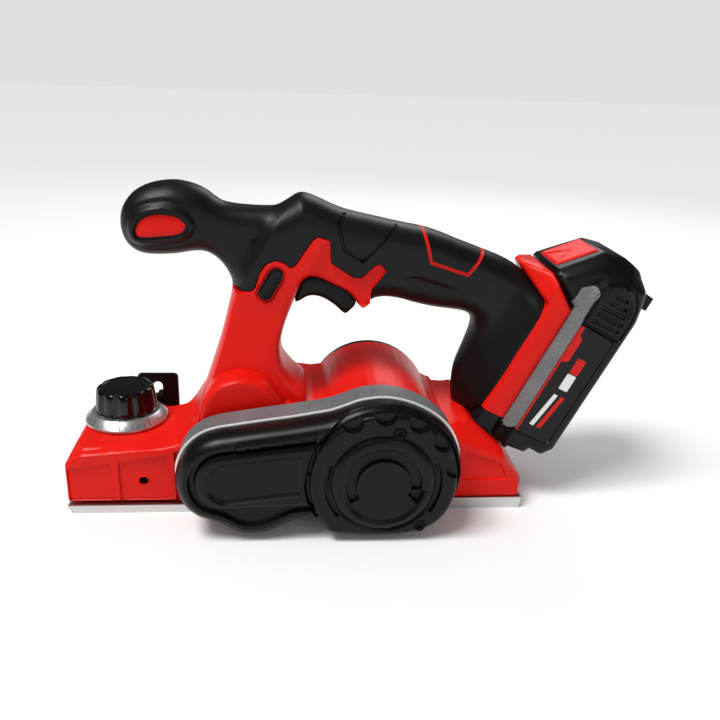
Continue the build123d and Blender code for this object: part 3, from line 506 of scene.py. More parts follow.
# The moulding is hollow: a round bay for the cutter and a bore for the chips are cut out.
cutter_bay, chip_way = (-37, 24.5, 26.3, 41.8, 41.8), (-36, 61, 16, -27, 60)
for cut_x, cut_z, cut_r, y_left, y_right in (cutter_bay, chip_way):
    ring = circle(cut_x, cut_z, cut_r, 72)
    pts, tris = web(ring, rims(ring, 1.0), 8.0)
    verts, faces = two_sided(pts, tris, y_left, y_right)
    core = bpy.data.meshes.new("core")
    core.from_pydata((verts * 0.001).tolist(), [], [list(f) for f in faces])
    core_ob = bpy.data.objects.new("core", core)
    scene.collection.objects.link(core_ob)
    cut = shell.modifiers.new("cut", "BOOLEAN")
    cut.operation, cut.solver, cut.object = "DIFFERENCE", "EXACT", core_ob
    seen = shell.evaluated_get(bpy.context.evaluated_depsgraph_get())
    hollowed = bpy.data.meshes.new_from_object(seen)
    shell.modifiers.remove(cut)
    shell.data = hollowed
    bpy.data.objects.remove(core_ob)

# Threaded socket for the side fence: a dark steel insert pressed in at the bottom of the hole.
black_oxide = brushed_metal("black_oxide_steel", "#1c1d1f", 0.45, 0.4, axis=1)
socket = circle(hole_x, hole_z, 2.95, 28)
pts, tris = web(socket, rims(socket, 0.9, 1.2), 1.2)
face = 42.0 - np.interp(distance(pts, socket), [0, 0.9, 1.2], [0, 0, 3.0])
verts, faces = two_sided(pts, tris, face, -36.0)
put_mesh("fence_socket", verts, faces, [black_oxide], "housing", ["fence_insert"])

# Motor end cover: black moulded ABS, round, on the far side of the motor hump, with a
# chamfered rim and a ring of cooling slots.
cap_z, cap_r, cap_low, cap_face = 38.9, 40.2, 8.0, 53.0
cap_edge = circle(motor_x, cap_z, cap_r, 96)
cap_edge[:, 1] = np.maximum(cap_edge[:, 1], cap_low)
vent_shape = ((13, -7), (27, -4.2), (27, 4.2), (13, 7))     # radius, then degrees to either side
vents = [rounded([(motor_x + r * math.cos(math.radians(a + t)), cap_z + r * math.sin(math.radians(a + t)), 1.0)
                  for r, t in vent_shape]) for a in range(0, 360, 30)]
cap_rules = [(v, [(0, 0), (0.5, -3.0)]) for v in vents]
pts, tris = web(cap_edge, rims(cap_edge, 0.8, 2.2, 4.5) + rule_lines(cap_rules, 2.0), 3.0)
out = cap_face - np.interp(distance(pts, cap_edge), [0, 0.8, 2.2, 4.5], [3.5, 2.0, 0.7, 0])
out = out + rule_height(pts, cap_rules)
verts, faces = two_sided(pts, tris, -40.6, out)
cover_black = moulded("black_grained_abs", "#0b0b0c", 0.33, 0.45, 0.35, tone=0.25, shine=0.2)
put_mesh("motor_end_cap", verts, faces, [cover_black], "housing", ["motor_cover"])

# ------------------------ belt housing
# Silver-flecked base plate with a thin lip whose near-white colour is a painted highlight along its edge, a
# deep black moulded cover with a long oval pad, and a round pulley cover with finger notches and a turning
# arrow.


def flecked(name, hex_code, fleck_hex, rough, fleck_mm, metallic=0.3):
    """Flake paint: a fine noise mixes two tones and dents the surface a little."""
    mat, tree, shader = new_material(name)
    shader.inputs["Metallic"].default_value = metallic
    shader.inputs["Roughness"].default_value = rough
    place = add_node(tree, "ShaderNodeTexCoord").outputs["Object"]
    grain = {"Scale": 1000.0 / fleck_mm, "Detail": 4.0, "Roughness": 0.7}
    fleck = add_node(tree, "ShaderNodeTexNoise", grain, Vector=place)
    cloud = add_node(tree, "ShaderNodeTexNoise", {"Scale": 1000.0 / 25.0, "Detail": 2.0}, Vector=place)
    both = add_node(tree, "ShaderNodeMath", {"operation": "MULTIPLY_ADD", 1: 0.25}, i0=cloud.outputs[0],
                    i2=fleck.outputs[0])
    pick = add_node(tree, "ShaderNodeMapRange", {"From Min": 0.45, "From Max": 0.82}, Value=both.outputs[0])
    tint = add_node(tree, "ShaderNodeMix", {"data_type": "RGBA", 6: linear(hex_code), 7: linear(fleck_hex)},
                    Factor=pick.outputs[0])
    tree.links.new(tint.outputs[2], shader.inputs["Base Color"])
    bump = add_node(tree, "ShaderNodeBump", {"Strength": 0.3, "Distance": 0.0001}, Height=fleck.outputs[0])
    tree.links.new(bump.outputs[0], shader.inputs["Normal"])
    return mat


# The base plate is mid grey with a fine sparkle; its lip is a thin edge coloured nearly white, a painted
# highlight along the rim.
silver_paint = flecked("silver_flake_paint", "#4e5052", "#97999b", 0.45, 0.45)
highlight_painted_lip = brushed_metal("painted_highlight_trim", "#f2f2f0", 0.3, 0.8, metallic=0.2)

cover_pts = [
    (-71, 40), (-70, 30), (-66.3, 21.5), (-59.5, 15), (-52, 11.8), (-45.5, 9.4), (-38.5, 5), (-30.5, 2.9),
    (-21.5, 3.5), (-12, 7.2), (-3, 11.4), (6, 12.6), (12.5, 11.6), (17, 7.2), (30, 4.6), (45, 3.4),
    (59, 4.0), (71, 6.2), (80, 11), (87, 18.8), (91.8, 30), (93.2, 42), (91.2, 54), (86, 64.8), (77, 73.6),
    (64, 80.6), (49, 84.1), (35, 82.8), (25, 79.2), (17.2, 76.4), (7, 74.4), (-5.5, 72.2), (-22, 69.8),
    (-38, 67.2), (-49, 65.2), (-57.5, 61.6), (-64.4, 55.5), (-69, 48)]
cover_edge = curved(cover_pts, 4)
band_edge, _ = shifted(cover_edge, -0.9)
highlight_lip_edge, _ = shifted(cover_edge, -1.25)
band_face, highlight_lip_face = 62.3, 62.9
# The second entry is the lip: its near-white colour is a painted highlight along the edge of the base plate.
for name, loop, y_out, y_in, mat, hides in (
        ("belt_base_band", band_edge, band_face, 45.0, silver_paint, ["belt_base"]),
        ("belt_base_highlight_lip", highlight_lip_edge, highlight_lip_face, band_face, highlight_painted_lip, [])):
    pts, tris = web(loop, rims(loop, 0.5), 6.0)
    out = y_out - np.interp(distance(pts, loop), [0, 0.5], [0.35, 0])
    verts, faces = two_sided(pts, tris, out, -y_in)
    put_mesh(name, verts, faces, [mat], "housing", hides)

oval = rounded([(-60.2, 20.5, 18.5), (-60.2, 55.2, 18.5), (12, 64.2, 1), (12, 22.8, 1)])
oval_in = rounded([(-53.5, 24.0, 13.5), (-53.5, 50.2, 13.5), (1.6, 56.6, 3), (0.2, 30.2, 3)])
gutter_in = dense(shifted(cover_edge, 7.5)[0], 1.5)
gutter = gutter_in[within(gutter_in, np.array([(-90.0, -10), (9.5, -10), (9.5, 100), (-90, 100)]))]
order = np.argsort(np.arctan2(gutter[:, 1] - 40, gutter[:, 0] + 28))
gutter = gutter[order]
claw = rounded([
    (-37.5, 60.6, 0.5), (-33, 57.9, 0.5), (-29.5, 61.4, 0.5), (-22.5, 59.2, 0.5), (-22.4, 62.5, 0.5),
    (-10.2, 61.4, 0.5), (-9.4, 65.0, 0.5), (0.2, 64.2, 0.5), (0.6, 67.6, 0.5), (7.4, 67.4, 0.5),
    (8.4, 70.4, 0.5), (-2, 68.9, 0.5), (-18, 66.4, 0.5), (-33.5, 64.2, 1)])
cover_rules = [(cover_edge, [(0, -7.5), (0.5, -5.6), (1.5, -3.3), (3.2, -1.2), (5.2, 0)]),
               (gutter, [(0, 0), (1.0, -3.0)]), (oval, [(0, 0), (1.2, 2.6), (2.8, 3.6), (4.2, 3.9)]),
               (oval_in, [(0, 0), (1.2, -1.2), (2.4, -2.0)]), (claw, [(0, 0), (0.6, 1.7)])]
disc_edge = curved([
    (4.6, 38), (6.2, 27.5), (10.2, 18), (14.6, 10.2), (17.5, 6.6), (30, 5.0), (45, 4.3), (58, 4.8),
    (70, 7.2), (79, 12.4), (85.2, 20.5), (88.8, 31), (89.2, 42), (86.6, 54), (80.6, 65.2), (71.6, 74),
    (60, 79.6), (47, 81.4), (34.5, 80), (23, 74.4), (13.6, 65.6), (7.2, 53)], 4)
cover_rules.append((shifted(disc_edge, -1.6)[0], [(-1.2, 0), (0, -2.6)]))
pts, tris = web(cover_edge, rule_lines(cover_rules, 2.0), 2.6)
front = 78.6 + rule_height(pts, cover_rules)
front = np.where(depth_in(pts, disc_edge) > 2.5, 75.0, np.minimum(front, 80.4))
verts, faces = two_sided(pts, tris, front, -62.7)
put_mesh("belt_cover_shell", verts, faces, [cover_black], "housing", ["belt_cover"])


def arc_loop(x, z, r_in, r_out, start, end, n=48):
    """Closed arc band between two radii and two angles in degrees."""
    t = np.radians(np.linspace(start, end, n))
    ring = np.stack([np.cos(t), np.sin(t)], 1)
    return np.concatenate([ring * r_out, ring[::-1] * r_in]) + (x, z)


arc = arc_loop(47.3, 37, 15.6, 21.9, -8, 210)
arrow = np.concatenate([[(72.4, 34.2), (66.9, 24.2), (60.2, 32.8)][::-1], arc[::-1]])[::-1]
notch_r = 42.6
disc_rules = [(disc_edge, [(0, -2.2), (0.4, -1.2), (1.2, -0.4), (2.4, 0)]),
              (arc_loop(46.8, 38.6, 31.4, 33.8, 158, 219), [(0, 0), (0.5, -2.4)]),
              (arc_loop(46.8, 38.6, 31.4, 33.8, -34, 24), [(0, 0), (0.5, -2.4)]),
              (circle(46.8, 38.4, 29.8), [(-1.4, 0), (0, -0.9), (1.2, 0.1), (2.6, 0.9), (4.2, 1.1)]),
              (circle(47.3, 37.2, 22.9), [(-1.5, 0), (0.6, -1.5)]), (arrow, [(0, 0), (0.5, -2.6)]),
              (circle(54.5, 70.4, 3.9, 32), [(0, 0), (0.4, -3.2)]),
              (circle(69.2, 11.2, 3.5, 32), [(0, 0), (0.4, -3.2)])]
for deg in (116, 90.5, 63.5, 38, 12.5):
    a = math.radians(deg)
    disc_rules.append((circle(46.8 + notch_r * math.cos(a), 38.8 + notch_r * math.sin(a), 6.3, 30),
                       [(0, 0), (0.5, -3.6)]))
pts, tris = web(disc_edge, rule_lines(disc_rules, 1.6), 2.0)
front = np.maximum(80.9 + rule_height(pts, disc_rules), 77.2)
verts, faces = two_sided(pts, tris, np.minimum(front, 82.0), -74.0)
put_mesh("pulley_cover_disc", verts, faces, [cover_black], "housing", ["pulley_cover"])

# ------------------------ handle
# Two glass-filled nylon half shells: the pillar and trigger guard stay bare and red, the
# grip and horn carry a soft overmoulding with hexagon seams, one of them filled in red.
# The soft skin is matt black and a little greyer where light falls; the seam fill is dull red.
soft_tpe = moulded("black_overmoulded_tpe", "#0d0d0e", 0.42, 0.55, 0.45, tone=0.3, shine=0.24)
seam_red = moulded("red_seam_fill", "#c81a14", 0.45, 0.5, 0.1)

handle_edge = curved([
    (-67.2, 50.8), (-65.4, 54), (-60.5, 67), (-54, 86), (-48.6, 103), (-44.2, 120), (-41.5, 133),
    (-43.6, 141), (-49, 148.6), (-56, 153.2), (-63.5, 153.6), (-74, 151.9), (-86, 151.3), (-94.5, 152.4),
    (-100.5, 156.2), (-104, 162), (-105.4, 170), (-103.6, 179), (-98, 186.8), (-90, 191.8), (-81, 194.2),
    (-72, 194.8), (-63, 193), (-56, 190), (-50.5, 186), (-46, 183.3), (-39, 181.9), (-30, 181.2),
    (-21, 181), (-14.5, 181.6), (-8, 185.2), (-2.5, 188.6), (2.5, 188.9), (9.7, 186.4), (18, 182.8),
    (27, 179.6), (43, 176.2), (59.4, 172.9), (74, 170.3), (85, 167), (95, 163.2), (105, 159.6), (115, 156),
    (124, 152.6), (132, 148.6), (141, 142), (149, 136), (154, 127), (152, 114), (143.5, 97), (130.5, 71),
    (124, 58), (117, 50), (108, 48.5), (101.2, 53), (98.8, 62), (98.6, 72), (99.4, 81), (102.2, 90),
    (105.4, 99), (107.8, 106.5), (108, 111.5), (106, 115.6), (101, 118), (92, 119), (81, 120.4), (70, 123),
    (62, 125.6), (54.6, 126.9), (48, 126.7), (43, 124.8), (40, 122.2), (37, 121.4), (34.2, 123.8),
    (28.4, 130.6), (21, 134.6), (13, 138.4), (6.4, 140.6), (1.8, 138.6), (-1.5, 132), (-5.4, 121.6),
    (-9, 112), (-11.6, 102), (-12, 94), (-10.2, 86), (-4, 77), (4, 69), (3.5, 58), (-5, 53.5)], 3)
black_zone = rounded([
    (-140, 132.2), (-41.6, 134.6, 1), (-36.6, 132.3, 1.5), (-29.4, 133.0, 2.5), (-26.8, 135.8, 2),
    (-24.4, 144.4, 5), (-20.4, 149.6, 4), (-15, 151.9, 4), (-9.6, 150.2, 3), (-6.2, 147.4, 1.5),
    (-3.4, 149.2, 1.5), (6.6, 164.2, 1.5), (9.6, 166.2, 1.5), (16.4, 164.2, 1.2), (17.4, 150.8, 0.8),
    (31.2, 141.9, 3), (36.3, 141.9, 3), (43.6, 149.6, 1.2), (46.9, 150.2, 0.8), (50.6, 146.6, 0.8),
    (42.2, 135.2, 1), (42.4, 120), (60, 40), (160, 30), (160, 240), (-140, 240)])


def ribbon(points, width):
    """Closed band of even width along an open line, with mitred bends."""
    p = np.array(points, float)
    e = p[1:] - p[:-1]
    e /= np.hypot(e[:, 0], e[:, 1])[:, None]
    n = np.stack([-e[:, 1], e[:, 0]], 1)
    m = np.concatenate([n[:1], n[:-1] + n[1:], n[-1:]])
    m /= np.maximum((m * m).sum(1) / np.where(np.arange(len(m)) % (len(m) - 1) == 0, 1, 2), 0.3)[:, None]
    return ccw(np.concatenate([p - m * width / 2, (p + m * width / 2)[::-1]]))


seam_black = ribbon([
    (32.5, 188), (27.4, 181.6), (21.6, 174.4), (24.6, 159.6), (36.1, 152.2), (57.6, 173.6), (62, 180)], 2.1)
seam_fill = ribbon([
    (71.0, 177.5), (71.8, 173.4), (77.0, 152.2), (99.6, 145.0), (111.4, 158.4), (112.8, 161.5)], 2.0)
horn_rim = curved([
    (-100, 167.4), (-97, 175.4), (-89.5, 181.4), (-79.5, 183.7), (-70, 181.8), (-62.8, 176.8),
    (-60.4, 171.2), (-63.6, 165), (-73, 161.2), (-83, 159.8), (-92, 159), (-98, 161.8)], 5)
horn_well = curved([
    (-95.6, 167.4), (-92.6, 174.2), (-86.5, 177.8), (-78.3, 178.6), (-70, 177), (-65.2, 172.6), (-66, 168),
    (-70.4, 165), (-79, 163.8), (-88, 162.9), (-93.6, 163.4)], 5)


def stadium(x, z, length, width, deg):
    """Closed outline of two half circles joined by straight sides."""
    a = math.radians(deg)
    u, v, r = np.array([math.cos(a), math.sin(a)]), np.array([-math.sin(a), math.cos(a)]), width / 2
    t = np.linspace(-math.pi / 2, math.pi / 2, 14)
    cap = np.cos(t)[:, None] * u * r + np.sin(t)[:, None] * v * r
    far = np.array([x, z]) + u * (length / 2 - r)
    near = np.array([x, z]) - u * (length / 2 - r)
    return np.concatenate([far + cap, near - cap])


lock_x, lock_z, lock_tilt = -18, 137.5, 60
lock_well = stadium(lock_x, lock_z, 24.4, 11.8, lock_tilt)
guard_crease = np.array([(-9.5, 108), (-1.0, 134), (3.2, 143.4), (13.0, 163.5)])
pillar_crease = np.array([
    (-3.6, 189.5), (-11.3, 177.5), (-22, 159.3), (-36.9, 133.5), (-44.3, 114.5), (-50.5, 97), (-60.5, 66),
    (-66.5, 46)])
seams = [(black_zone, [(-0.6, 0), (0.0, -0.7), (0.7, 0)]), (seam_black, [(0, 0), (0.45, -1.5)]),
         (seam_fill, [(0, 0), (0.45, -0.8)]),
         (horn_rim, [(-3.0, 0), (-1.2, -0.7), (0, -0.4), (1.2, 1.0), (2.6, 1.7), (3.6, 1.7)]),
         (horn_well, [(-1.2, 0), (-0.2, -0.8), (0.3, -2.2)]), (lock_well, [(0, 0), (0.8, -1.2)])]
lines = rims(handle_edge, 0.25, 0.7, 1.5, 2.8, 4.6, 7.0, 10.0, 14)
lines += rule_lines(seams, 2.0, handle_edge, 0.15)
for bend in (pillar_crease, pillar_crease - np.array([0.83, -0.5]) * 5.0, guard_crease):
    line = dense(bend, 3, False)
    lines.append((line, depth_in(line, handle_edge) > 0.4, False))
xz, tri = web(handle_edge, lines, 2.2)


def side_of(pts, line):
    """Signed distance to an open line, positive on its right-hand side going along it."""
    gap = distance(pts, line, False)
    a, b = line[:-1], line[1:]
    mid = (a + b)[None] / 2
    near = np.argmin(((pts[:, None, :] - mid) ** 2).sum(2) - 0.25 * ((b - a) ** 2).sum(1)[None], 1)
    e, q = (b - a)[near], pts - a[near]
    return gap * np.sign(-(e[:, 0] * q[:, 1] - e[:, 1] * q[:, 0]))


across_slide, along_slide = np.array([0.9011, -0.4337]), np.array([0.4337, 0.9011])


def grip_half(pts):
    """Half width of the handle: a rounded-oval section that is squarer on the red parts."""
    d = distance(pts, handle_edge)
    black = within(pts, black_zone) | (distance(pts, black_zone) < 1e-3)
    front = -side_of(pts, dense(pillar_crease, 6, False))
    ahead_of = np.clip(-front / 6.0, 0, 1) * (pts[:, 0] < 5)
    full = np.where(black, 17.9, 17.9 + np.clip((118 - pts[:, 1]) / 50, 0, 1) * 7.5)
    horn = np.exp(-(((pts[:, 0] + 82) / 34) ** 2 + ((pts[:, 1] - 172) / 26) ** 2) ** 2)
    full = np.where(black, full - ahead_of * 5.0 * (1 - horn) - 0.6 * horn,
                    full - np.clip(-front, 0, 9) * (pts[:, 0] < -20))
    across, along = pts @ across_slide, pts @ along_slide
    full = full + np.clip((across - 57) / 19, 0, 1.05) ** 1.4 * 10.8 * np.clip((along - 92) / 14, 0.45, 1)
    r = np.where(black, 15.0 + 2.0 * horn - 3.0 * ahead_of * (1 - horn), 4.2)
    q = np.where(black, 2.15, 2.4)
    t = np.clip(1 - d / r, 0, 1)
    half = full * (1 - t ** q) ** (1 / q)
    crest = np.clip(side_of(pts, dense(guard_crease, 5, False)) / 9.0, 0, 1)
    half -= np.where(~black & (pts[:, 1] > 126) & (pts[:, 0] > -8), crest * 2.6, 0)
    hollow_top = 144.0 - 0.3 * np.maximum(pts[:, 0] - 70, 0)
    finger = np.exp(-(((pts[:, 0] - 80 + 0.35 * (pts[:, 1] - 134)) / 17) ** 2) ** 2)
    finger *= np.clip((hollow_top - pts[:, 1]) / 2.4, 0, 1)
    return np.maximum(half - np.where(black, 2.4 * finger, 0), 0)


half = grip_half(xz)
cut = rule_height(xz, seams)
half = np.maximum(half + cut * np.clip(half / 6, 0, 1), 0)
mid = xz[tri].mean(1)
is_black = within(mid, black_zone)
for name, keep, mats, hides, slot_name in (
        ("grip_overmould", is_black, [soft_tpe, seam_red], ["grip_left", "grip_right"], "soft_black"),
        ("pillar_shell", ~is_black, [red_abs], ["pillar_left", "pillar_right"], "red_shell")):
    part = tri[keep]
    verts, faces = two_sided(xz, part, half, half)
    which = np.zeros(len(faces), int)
    if len(mats) == 2:
        which[:2 * len(part)] = np.tile(within(mid[keep], seam_fill), 2)
    put_mesh(name, verts, faces, mats, "housing", hides, which, sharp=26)

inlay = shifted(horn_well, 0.5)[0]
pts, tris = web(inlay, rims(inlay, 0.4, 1.2, 3.0), 2.5)
dome = grip_half(pts) - 0.4 + np.interp(distance(pts, inlay), [0, 0.4, 1.2, 3.0], [-1.0, -0.3, 0.05, 0.3])
verts, faces = two_sided(pts, tris, dome, dome)
put_mesh("horn_inlay", verts, faces, [red_abs], "housing", ["horn_insets"])

# Lock button: a slim oval press button through the pillar, with a raised edge.
loop = stadium(lock_x, lock_z, 21, 8.4, lock_tilt)
pts, tris = web(loop, rims(loop, 0.4, 1.0, 1.9, 2.6), 1.5)
cap = 19.3 + np.interp(distance(pts, loop), [0, 0.4, 1.0, 1.9, 2.6], [-1.2, -0.35, 0, 0, -0.35])
verts, faces = two_sided(pts, tris, cap, cap)
put_mesh("lock_press_button", verts, faces, [cover_black], "lock", ["lock_button"])

# Trigger: a curved paddle with a rounded front that hangs below the guard.
pad = curved([
    (-3.6, 124.4), (-1.6, 123.6), (3.5, 126.6), (7.8, 127.4), (13.8, 126.0), (20.7, 121.6), (25.6, 117.2),
    (27.8, 116.3), (29.4, 117.2), (33.6, 121.8), (33.4, 127), (30, 132), (20, 137.6), (8, 141), (0, 138.5),
    (-2.6, 131)], 4)
pts, tris = web(pad, rims(pad, 0.3, 0.9, 1.8, 3.2), 2.0)
side = 7.5 - np.interp(distance(pts, pad), [0, 0.3, 0.9, 1.8, 3.2], [2.8, 1.8, 1.0, 0.4, 0])
verts, faces = two_sided(pts, tris, side, side)
put_mesh("trigger_paddle", verts, faces, [cover_black], "trigger", ["trigger"])

# ------------------------ handle foot
# Red collar of the battery shoe at the bottom of the rear grip, drawn across (p) and
# along (s) the battery slide, which leans 64.3 degrees from the sole.
lean = math.radians(64.3)


def on_slide(v):
    """Turns across/along/side coordinates (p, y, s) into x, y, z."""
    p, y, s = v[:, 0], v[:, 1], v[:, 2]
    across, along = np.array([math.sin(lean), -math.cos(lean)]), np.array([math.cos(lean), math.sin(lean)])
    return np.stack([p * across[0] + s * along[0], y, s * along[1] + p * across[1]], 1)


foot_edge = rounded([
    (74.5, 89.5, 3), (91.4, 88.6, 1.5), (91.6, 184.2, 1), (70.6, 199.0, 2), (59, 196.3, 3),
    (55.8, 193.5, 1), (62.5, 189.6, 2), (76.6, 181.6, 2), (75.6, 110, 2)])
foot_edge = dense(foot_edge, 2.0)
lines = rims(foot_edge, 0.4, 1.1, 2.2, 4.0)
turn_line = dense(np.array([(60, 176.0), (95, 196.0)]), 3, False)
lines.append((turn_line, depth_in(turn_line, foot_edge) > 0.4, False))
split_low, foot_split, split_high = 105.3, 105.55, 105.8     # along the slide: black below, red above
for s_at in (split_low, split_high):
    level = dense(np.array([(70, s_at), (95, s_at)]), 2, False)
    lines.append((level, depth_in(level, foot_edge) > 0.3, False))
pts, tris = web(foot_edge, lines, 2.4)
width = np.interp(pts[:, 0], [56, 59, 70, 75, 85, 92], [9, 13, 24.0, 29.6, 30.6, 30.9])
width -= 2.2 * np.clip((split_high - pts[:, 1]) / 0.5, 0, 1)
width = width - np.interp(distance(pts, foot_edge), [0, 0.4, 1.1, 2.2, 4.0], [2.2, 1.3, 0.6, 0.2, 0])
verts, faces = two_sided(pts, tris, width, width, at=on_slide)
low = pts[tris].mean(1)[:, 1] < foot_split
which = np.zeros(len(faces), int)
which[:len(tris)] = which[len(tris):2 * len(tris)] = low
which[2 * len(tris):] = verts[faces[2 * len(tris):]].mean(1) @ [0.4337, 0, 0.9011] < foot_split
put_mesh("foot_collar", verts, faces, [red_abs, cover_black], "housing", ["foot_left", "foot_right"],
         which)

# ------------------------ battery
# Five-cell slide-on pack: black grained ABS case with a silver-flecked shoulder, a label
# field with a red stripe, a ribbed finger pad on each side and a red release lever.
strip = rounded([
    (88.0, 104.4, 1), (93.5, 102.6, 2), (97.3, 106.4, 1), (97.3, 195.5, 4), (98.4, 201.5, 2),
    (94.6, 205.2, 2.5), (88.0, 199.5, 1)])
pack_edge = dense(rounded([
    (90.5, 93.0, 2), (96.5, 91.2, 2), (112.5, 92.2, 2), (114.5, 96.0, 1.5), (123.5, 95.4, 3),
    (128.8, 102, 4), (128.8, 205, 4), (128.2, 216, 6), (120.5, 223.5, 8), (106, 226.4, 6), (93.2, 223.6, 3),
    (72.6, 202.4, 2), (72.4, 199.2, 1.5), (91.2, 187.6, 1)]), 2.0)
shoulder_in = rounded([
    (97.2, 80), (97.2, 195, 6), (100.2, 206.5, 8), (107, 211.6, 8), (160, 214), (160, 80)])
field = rounded([(97.6, 103.6, 1.5), (122.6, 103.6, 4), (122.6, 179.6, 1.5), (97.7, 181.0, 1.5)])
badges = [rounded([(107.9, 139.8, 0.8), (114.1, 139.8, 0.8), (114.1, 150.8, 0.8), (107.9, 150.8, 0.8)]),
          rounded([(104.2, 111.5, 0.3), (107.2, 111.5, 0.3), (110.4, 135.5, 0.3), (107.6, 135.5, 0.3)]),
          rounded([(108.4, 151.4, 0.8), (114.2, 151.4, 0.8), (114.2, 162.0, 0.8), (108.4, 162.0, 0.8)]),
          rounded([(109.2, 111.5, 0.3), (112.2, 111.5, 0.3), (115.4, 135.5, 0.3), (112.6, 135.5, 0.3)])]
stripe = rounded([
    (98.0, 104.6, 1), (99.6, 104.8, 0.8), (99.8, 155.6, 1), (103.9, 157.2, 1.5), (103.9, 172.6, 1.5),
    (101.2, 174.6, 1), (101.0, 180.3, 0.5), (98.1, 180.3, 0.5)])
dome_pad = dense(rounded([
    (98.2, 183.0, 1.5), (123.8, 182.0, 1.5), (124.2, 203, 8), (118.8, 210.6, 8), (110.5, 213, 8),
    (101.5, 209.4, 8), (97.8, 200, 8)]), 2.0)
ribs = [ribbon([(p0, s0), (p1, s0 + 0.2)], 2.3) for p0, p1, s0 in
        ((101.5, 121.0, 186.4), (101.7, 120.6, 190.9), (102.8, 119.4, 195.5), (104.6, 117.8, 200.1),
         (106.6, 116.0, 204.6))]
pack_rules = [(field, [(-0.9, 0), (-0.2, 0.4), (0.3, -0.5), (0.7, -0.6)]),
              (dome_pad, [(-1.4, 0), (-0.8, -0.8), (0.0, -0.8), (0.6, 0.3), (2.0, 0.7)])]
pack_rules += [(r, [(0, 0), (0.45, -1.2)]) for r in ribs]
lines = rims(pack_edge, 0.5, 1.3, 2.6, 4.5)
flat_marks = [(b, [(0, 0)]) for b in badges + [stripe, strip]] + [(shoulder_in, [(0, 0), (-7.0, 0)])]
lines += rule_lines(pack_rules + flat_marks, 2.5, pack_edge, 0.3)
top_line = dense(np.array([(60, 196.6), (73.5, 197.4), (97, 213.0), (112, 216.5), (130, 214)]), 3, False)
lines.append((top_line, depth_in(top_line, pack_edge) > 0.4, False))
pts, tris = web(pack_edge, lines, 2.2)
gone = np.maximum(0, -depth_in(pts, shoulder_in))
width = 37.4 - np.minimum(gone, 7.0) * 0.78 - np.maximum(0, gone - 7.0) * 0.18
above = np.interp(pts[:, 0], top_line[:, 0], top_line[:, 1])
width -= np.clip((pts[:, 1] - above) / 12, 0, 1) * 7.0
width -= np.clip((pts[:, 1] - 196) / 20, 0, 1) * np.clip((pts[:, 0] - 112) / 16, 0, 1) * 8.0
width -= np.interp(distance(pts, pack_edge), [0, 0.5, 1.3, 2.6, 4.5], [3.2, 2.0, 1.1, 0.4, 0])
width = width + rule_height(pts, pack_rules)
verts, faces = two_sided(pts, tris, width, width, at=on_slide)
mid = pts[tris].mean(1)
shade = np.zeros(len(tris), int)
shade[within(mid, strip)] = 1
shade[within(mid, stripe)] = 2
shade[within(mid, field) & ~within(mid, stripe)] = 3
for i, badge in enumerate(badges):
    shade[within(mid, badge)] = 4 if i < 2 else 2
which = np.zeros(len(faces), int)
which[:len(tris)] = shade
which[len(tris):2 * len(tris)] = shade
# The label is a glossy dark film printed in red and white.
gloss_label = moulded("black_film_label", "#080809", 0.22, 2.0, 0.05, tone=0.05, shine=0.25)
stripe_red = moulded("red_film_label", "#cf1a12", 0.25, 2.0, 0.05, tone=0.05)
label_white = moulded("white_film_label", "#e4e4e2", 0.3, 2.0, 0.05, tone=0.03)
put_mesh("battery_shell", verts, faces, [cover_black, silver_paint, stripe_red, gloss_label, label_white],
         "pack",
         ["pack_lid", "pack_case", "pack_pads", "pack_labels"], which, sharp=28)
paint_node("pack_tab", cover_black)

# Release lever: a red panel let into the sloping face of the head, with a triangular
# thumb hollow; it is drawn along the slope and across the pack.
slope_u = np.array([0.691, 0.723])
slope_n = np.array([-0.723, 0.691])


def on_head(v):
    """Turns along-slope, outward and across values into slide coordinates, then x, y, z."""
    ps = np.array([72.6, 202.4]) + v[:, 0:1] * slope_u + v[:, 1:2] * slope_n
    return on_slide(np.stack([ps[:, 0], v[:, 2], ps[:, 1]], 1))


panel = rounded([(0.9, -15.6, 1.2), (27.6, -15.6, 1.2), (27.6, 15.6, 1.2), (0.9, 15.6, 1.2)])
thumb = rounded([(3.0, -10.5, 0.8), (17.5, 0, 0.8), (3.0, 10.5, 0.8)])
rules = [(panel, [(0, -1.0), (0.5, -0.3), (1.1, 0)]), (thumb, [(0, 0), (0.5, -0.5)])]
pts, tris = web(panel, rule_lines(rules, 2.0), 1.6)
rise = 1.15 + rule_height(pts, rules) - np.where(within(pts, thumb), (17.5 - pts[:, 0]) * 0.03, 0)
verts, faces = two_sided(pts, tris, 3.4, rise, at=on_head)
put_mesh("release_lever", verts, [f[::-1] for f in faces], [red_abs], "release", ["release_button"])

# ------------------------ depth knob
# Glossy black turned knob with finger flutes on a tapered silver scale ring; the lines
# round the ring count the depth of cut.
knob_at = np.array([-110.6, 0.0])


def turned(profile, n, flute=0, deep=0.0, narrow=0.1):
    """Surface of revolution about the knob axis; flutes press the radius in by a bell curve."""
    prof = np.array(profile, float)
    t = np.linspace(0, 2 * np.pi, n, endpoint=False)
    dent = np.zeros(n)
    if flute:
        gap = (t * flute / (2 * np.pi) + 0.5) % 1 - 0.5
        dent = deep * np.exp(-(gap / (narrow * flute)) ** 2)
    r = np.maximum(prof[:, 0:1] - dent[None] * prof[:, 2:3], 0)
    x, y = knob_at[0] + r * np.cos(t), knob_at[1] + r * np.sin(t)
    z = np.broadcast_to(prof[:, 1:2], r.shape)
    verts = np.stack([x, y, z], 2).reshape(-1, 3)
    k = np.arange(len(prof) - 1)[:, None] * n
    i, j = np.arange(n)[None], (np.arange(n)[None] + 1) % n
    quads = np.stack([k + i, k + j, k + n + j, k + n + i], 2).reshape(-1, 4)
    faces = quads.tolist()
    faces.append(list(range(n))[::-1])
    faces.append([(len(prof) - 1) * n + q for q in range(n)])
    return verts, faces


